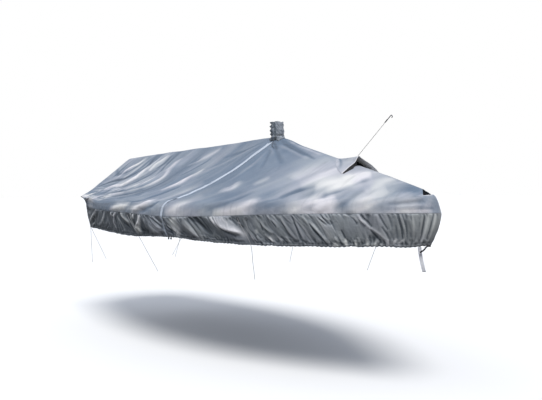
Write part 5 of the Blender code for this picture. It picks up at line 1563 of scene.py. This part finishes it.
def lift_line():
    """A taut cord from the apex of the hood, and the snap hook at its upper end."""
    seat = np.array([GAP, 0, CLOTH / 2 + GAP + LIFT_CORD / 2])
    apex = hood_point(np.array([0.97]), np.zeros(1))[0] + seat
    along = unit_rows(LIFT_TOP - apex)
    up = np.cross((0, 1, 0), along)
    eye = LIFT_TOP - along * LIFT_HOOK_LENGTH
    beside = np.array([0, -(LIFT_CORD + LIFT_HOOK_WIRE) / 2 - GAP, 0])
    free = [apex + (eye - apex) * t for t in np.linspace(0, 0.96, 18)]
    seized = [eye + beside * share + along * at
              for at, share in ((0.004, 0.85), (0.012, 1), (0.020, 1), (0.028, 1), (0.036, 1))]
    points = np.array(free + seized)
    line = cord("vent_lift_line", points, LIFT_CORD, "grey_cord")
    reach = LIFT_HOOK_LENGTH - 0.012
    centre = eye + along * reach + up * LIFT_HOOK_BEND
    shank = [eye + along * (GAP + reach * t) for t in np.linspace(0, 0.97, 18)]
    hook = [centre + (along * np.cos(turn) + up * np.sin(turn)) * LIFT_HOOK_BEND
            for turn in np.linspace(-0.5 * math.pi, 0.6 * math.pi, 20)]
    made = tube("vent_lift_hook", shank + hook, LIFT_HOOK_WIRE / 2, "ring_metal", 14)


# ---------------------------------------------------------------- ties
TIE_CORD = 0.0035
TIE_STAND_OFF = 0.003
RING_RADIUS, RING_WIRE = 0.011, 0.003
RING_AIR = 0.0001


def tie_ring(name, g, w, air, side):
    centre, out = on_skirt(g, w, side, CLOTH / 2 + air + RING_WIRE / 2)
    first = unit_rows(np.cross(out, (0, 0, 1)))
    second = np.cross(out, first)
    turn = np.linspace(0, 2 * math.pi, 32, endpoint=False)[:, None]
    line = centre + RING_RADIUS * (np.cos(turn) * first + np.sin(turn) * second)
    tube(name, line, RING_WIRE / 2, "ring_metal", 12, closed=True)


def ties():
    for label, side in SIDES.items():
        tie_ring(f"tie_ring_spare_{label}", *SPARE_RING, side)
        for row in TIES:
            tie = dict(zip(TIE_COLUMNS, row))
            tie_ring(f"tie_ring_{tie['name']}_{label}", tie["ring_girth"], tie["ring_w"], tie["air"], side)
            lift = CLOTH / 2 + tie["air"] + RING_WIRE + TIE_CORD / 2 + RING_AIR
            start, _ = on_skirt(tie["ring_girth"], tie["ring_w"], side, lift)
            hem, _ = on_skirt(tie["hem_girth"], 1.0, side, lift)
            middle, _ = on_skirt((tie["ring_girth"] + tie["hem_girth"]) / 2, 0.5, side, lift + TIE_STAND_OFF)
            end = np.array([tie["end_x"], side * tie["end_y"], tie["end_z"]])
            route = [start, middle, hem, hem * 0.5 + end * 0.5, end]
            points = smooth_route(route, 25)
            name = f"tie_{tie['name']}_{label}"
            made = cord(name, points, TIE_CORD, "light_cord")


# ---------------------------------------------------------------- bow strap and hook
STRAP_WIDTH = 0.024
STRAP_U = 9.35
STRAP_FALL = ((0, 0), (-0.020, -0.001), (-0.060, -0.007), (-0.105, -0.016), (-0.163, -0.030))
HOOK_CORD = 0.011
HOOK_DROP = 0.030


def bow_fittings():
    """The strap end that hangs inside the foot of the stem, and the hooked cord beside it."""
    hem, out = on_skirt(girth(STRAP_U), 1.0, STARBOARD, 0)
    root = hem + SEAM_DROP - UP * CLOTH
    across = unit_rows(np.cross(out, (0, 0, 1)))
    fall = smooth_route(STRAP_FALL, 34)
    drop, sway = fall[:, :1], fall[:, 1:]
    tuck = 0.12 * np.minimum(-drop, 0.02)
    curl = 0.0015 * np.sin(drop * 60)
    middle = root + drop * UP - out * (tuck + curl * clamp(-drop / 0.1)) + across * sway
    share = np.linspace(-0.5, 0.5, 9)
    points = middle[:, None] + across * (share[:, None] * STRAP_WIDTH)
    fabric = joined(-drop, share * STRAP_WIDTH)
    sheet("bow_strap", points, fabric, "strap_webbing",
          thickness=WEBBING)
    tip = skirt_point(STEM, 1.0, STARBOARD) + np.array([0.006, 0, -GAP - HOOK_CORD / 2 - 0.001])
    clear = CLOTH + 3 * GAP + HOOK_CORD / 2 + 0.001
    end = root + out * clear + np.array([0.004, 0, -HOOK_DROP])
    route = [tip, tip + np.array([-0.022, -0.012, -0.004]),
             tip * 0.45 + end * 0.55 + np.array([0, -0.008, -0.002]), end]
    points = smooth_route(route, 18)
    made = cord("bow_hook", points, HOOK_CORD, "dark_cord")


# ---------------------------------------------------------------- stage
GROUND_Z = -1.76
FLOOR_HALF = 60.0


def add_floor():
    mesh = bpy.data.meshes.new("floor")
    corners = [(x, y, GROUND_Z) for x, y in ((-1, -1), (1, -1), (1, 1), (-1, 1))]
    mesh.from_pydata([(x * FLOOR_HALF, y * FLOOR_HALF, z) for x, y, z in corners], [], [(0, 1, 2, 3)])
    mesh.materials.append(Finish("floor", Base_Color=(0.90, 0.90, 0.90, 1.0), Roughness=0.9).made)
    made = bpy.data.objects.new("floor", mesh)
    made.visible_diffuse = made.visible_glossy = False
    bpy.context.collection.objects.link(made)


LIGHT_COLUMNS = ("name", "from_x", "from_y", "from_z", "strength", "softness", "colour")
LIGHTS = (
    ("key", 0.50, -0.28, 0.82, 2.6, 28.0, (1.0, 0.985, 0.96)),
    ("fill", -0.60, -0.50, 0.62, 0.5, 60.0, (0.93, 0.96, 1.0)),
)
SKY_LIGHT = (0.46, 0.50, 0.58)
GROUND_LIGHT = (0.10, 0.10, 0.10)        # the cover's own light from below, less than the floor's
WHITE = 1.0                  # the backdrop as the camera sees it


def add_lights():
    for row in LIGHTS:
        light = dict(zip(LIGHT_COLUMNS, row))
        data = bpy.data.lights.new(light["name"], "SUN")
        data.energy = light["strength"]
        data.angle = math.radians(light["softness"])
        data.color = light["colour"]
        made = bpy.data.objects.new(light["name"], data)
        toward = Vector((light["from_x"], light["from_y"], light["from_z"]))
        made.rotation_euler = toward.to_track_quat("Z", "Y").to_euler()
        bpy.context.collection.objects.link(made)
    world = bpy.data.worlds.new("studio")
    bpy.context.scene.world = world
    world.use_nodes = True
    world.node_tree.nodes.clear()
    sky = Nodes(world.node_tree)
    height = sky.node("ShaderNodeSeparateXYZ", "Z", {"Vector": sky.node("ShaderNodeTexCoord", "Generated")})
    shade = sky.mix(sky.spread(height, -0.15, 0.35, 0.0, 1.0), GROUND_LIGHT, SKY_LIGHT)
    light = sky.node("ShaderNodeBackground", "Background", {"Color": shade})
    wall = {"Color": (1.0, 1.0, 1.0, 1.0), "Strength": WHITE}
    wall = sky.node("ShaderNodeBackground", "Background", wall)
    seen = sky.node("ShaderNodeLightPath", "Is Camera Ray")
    chosen = sky.node("ShaderNodeMixShader", "Shader", {"Fac": seen, 1: light, 2: wall})
    sky.node("ShaderNodeOutputWorld", None, {"Surface": chosen})


add_camera()
FINISHES = make_finishes()
collar_lashing()
lift_line()
ties()
bow_fittings()
top_panels()
stern_panel()
skirt_strips()
stern_skirt()
closure_tapes()
closure_toggles()
mast_sleeve()
vent()
add_floor()
add_lights()
bpy.context.scene.view_settings.view_transform = "Standard"
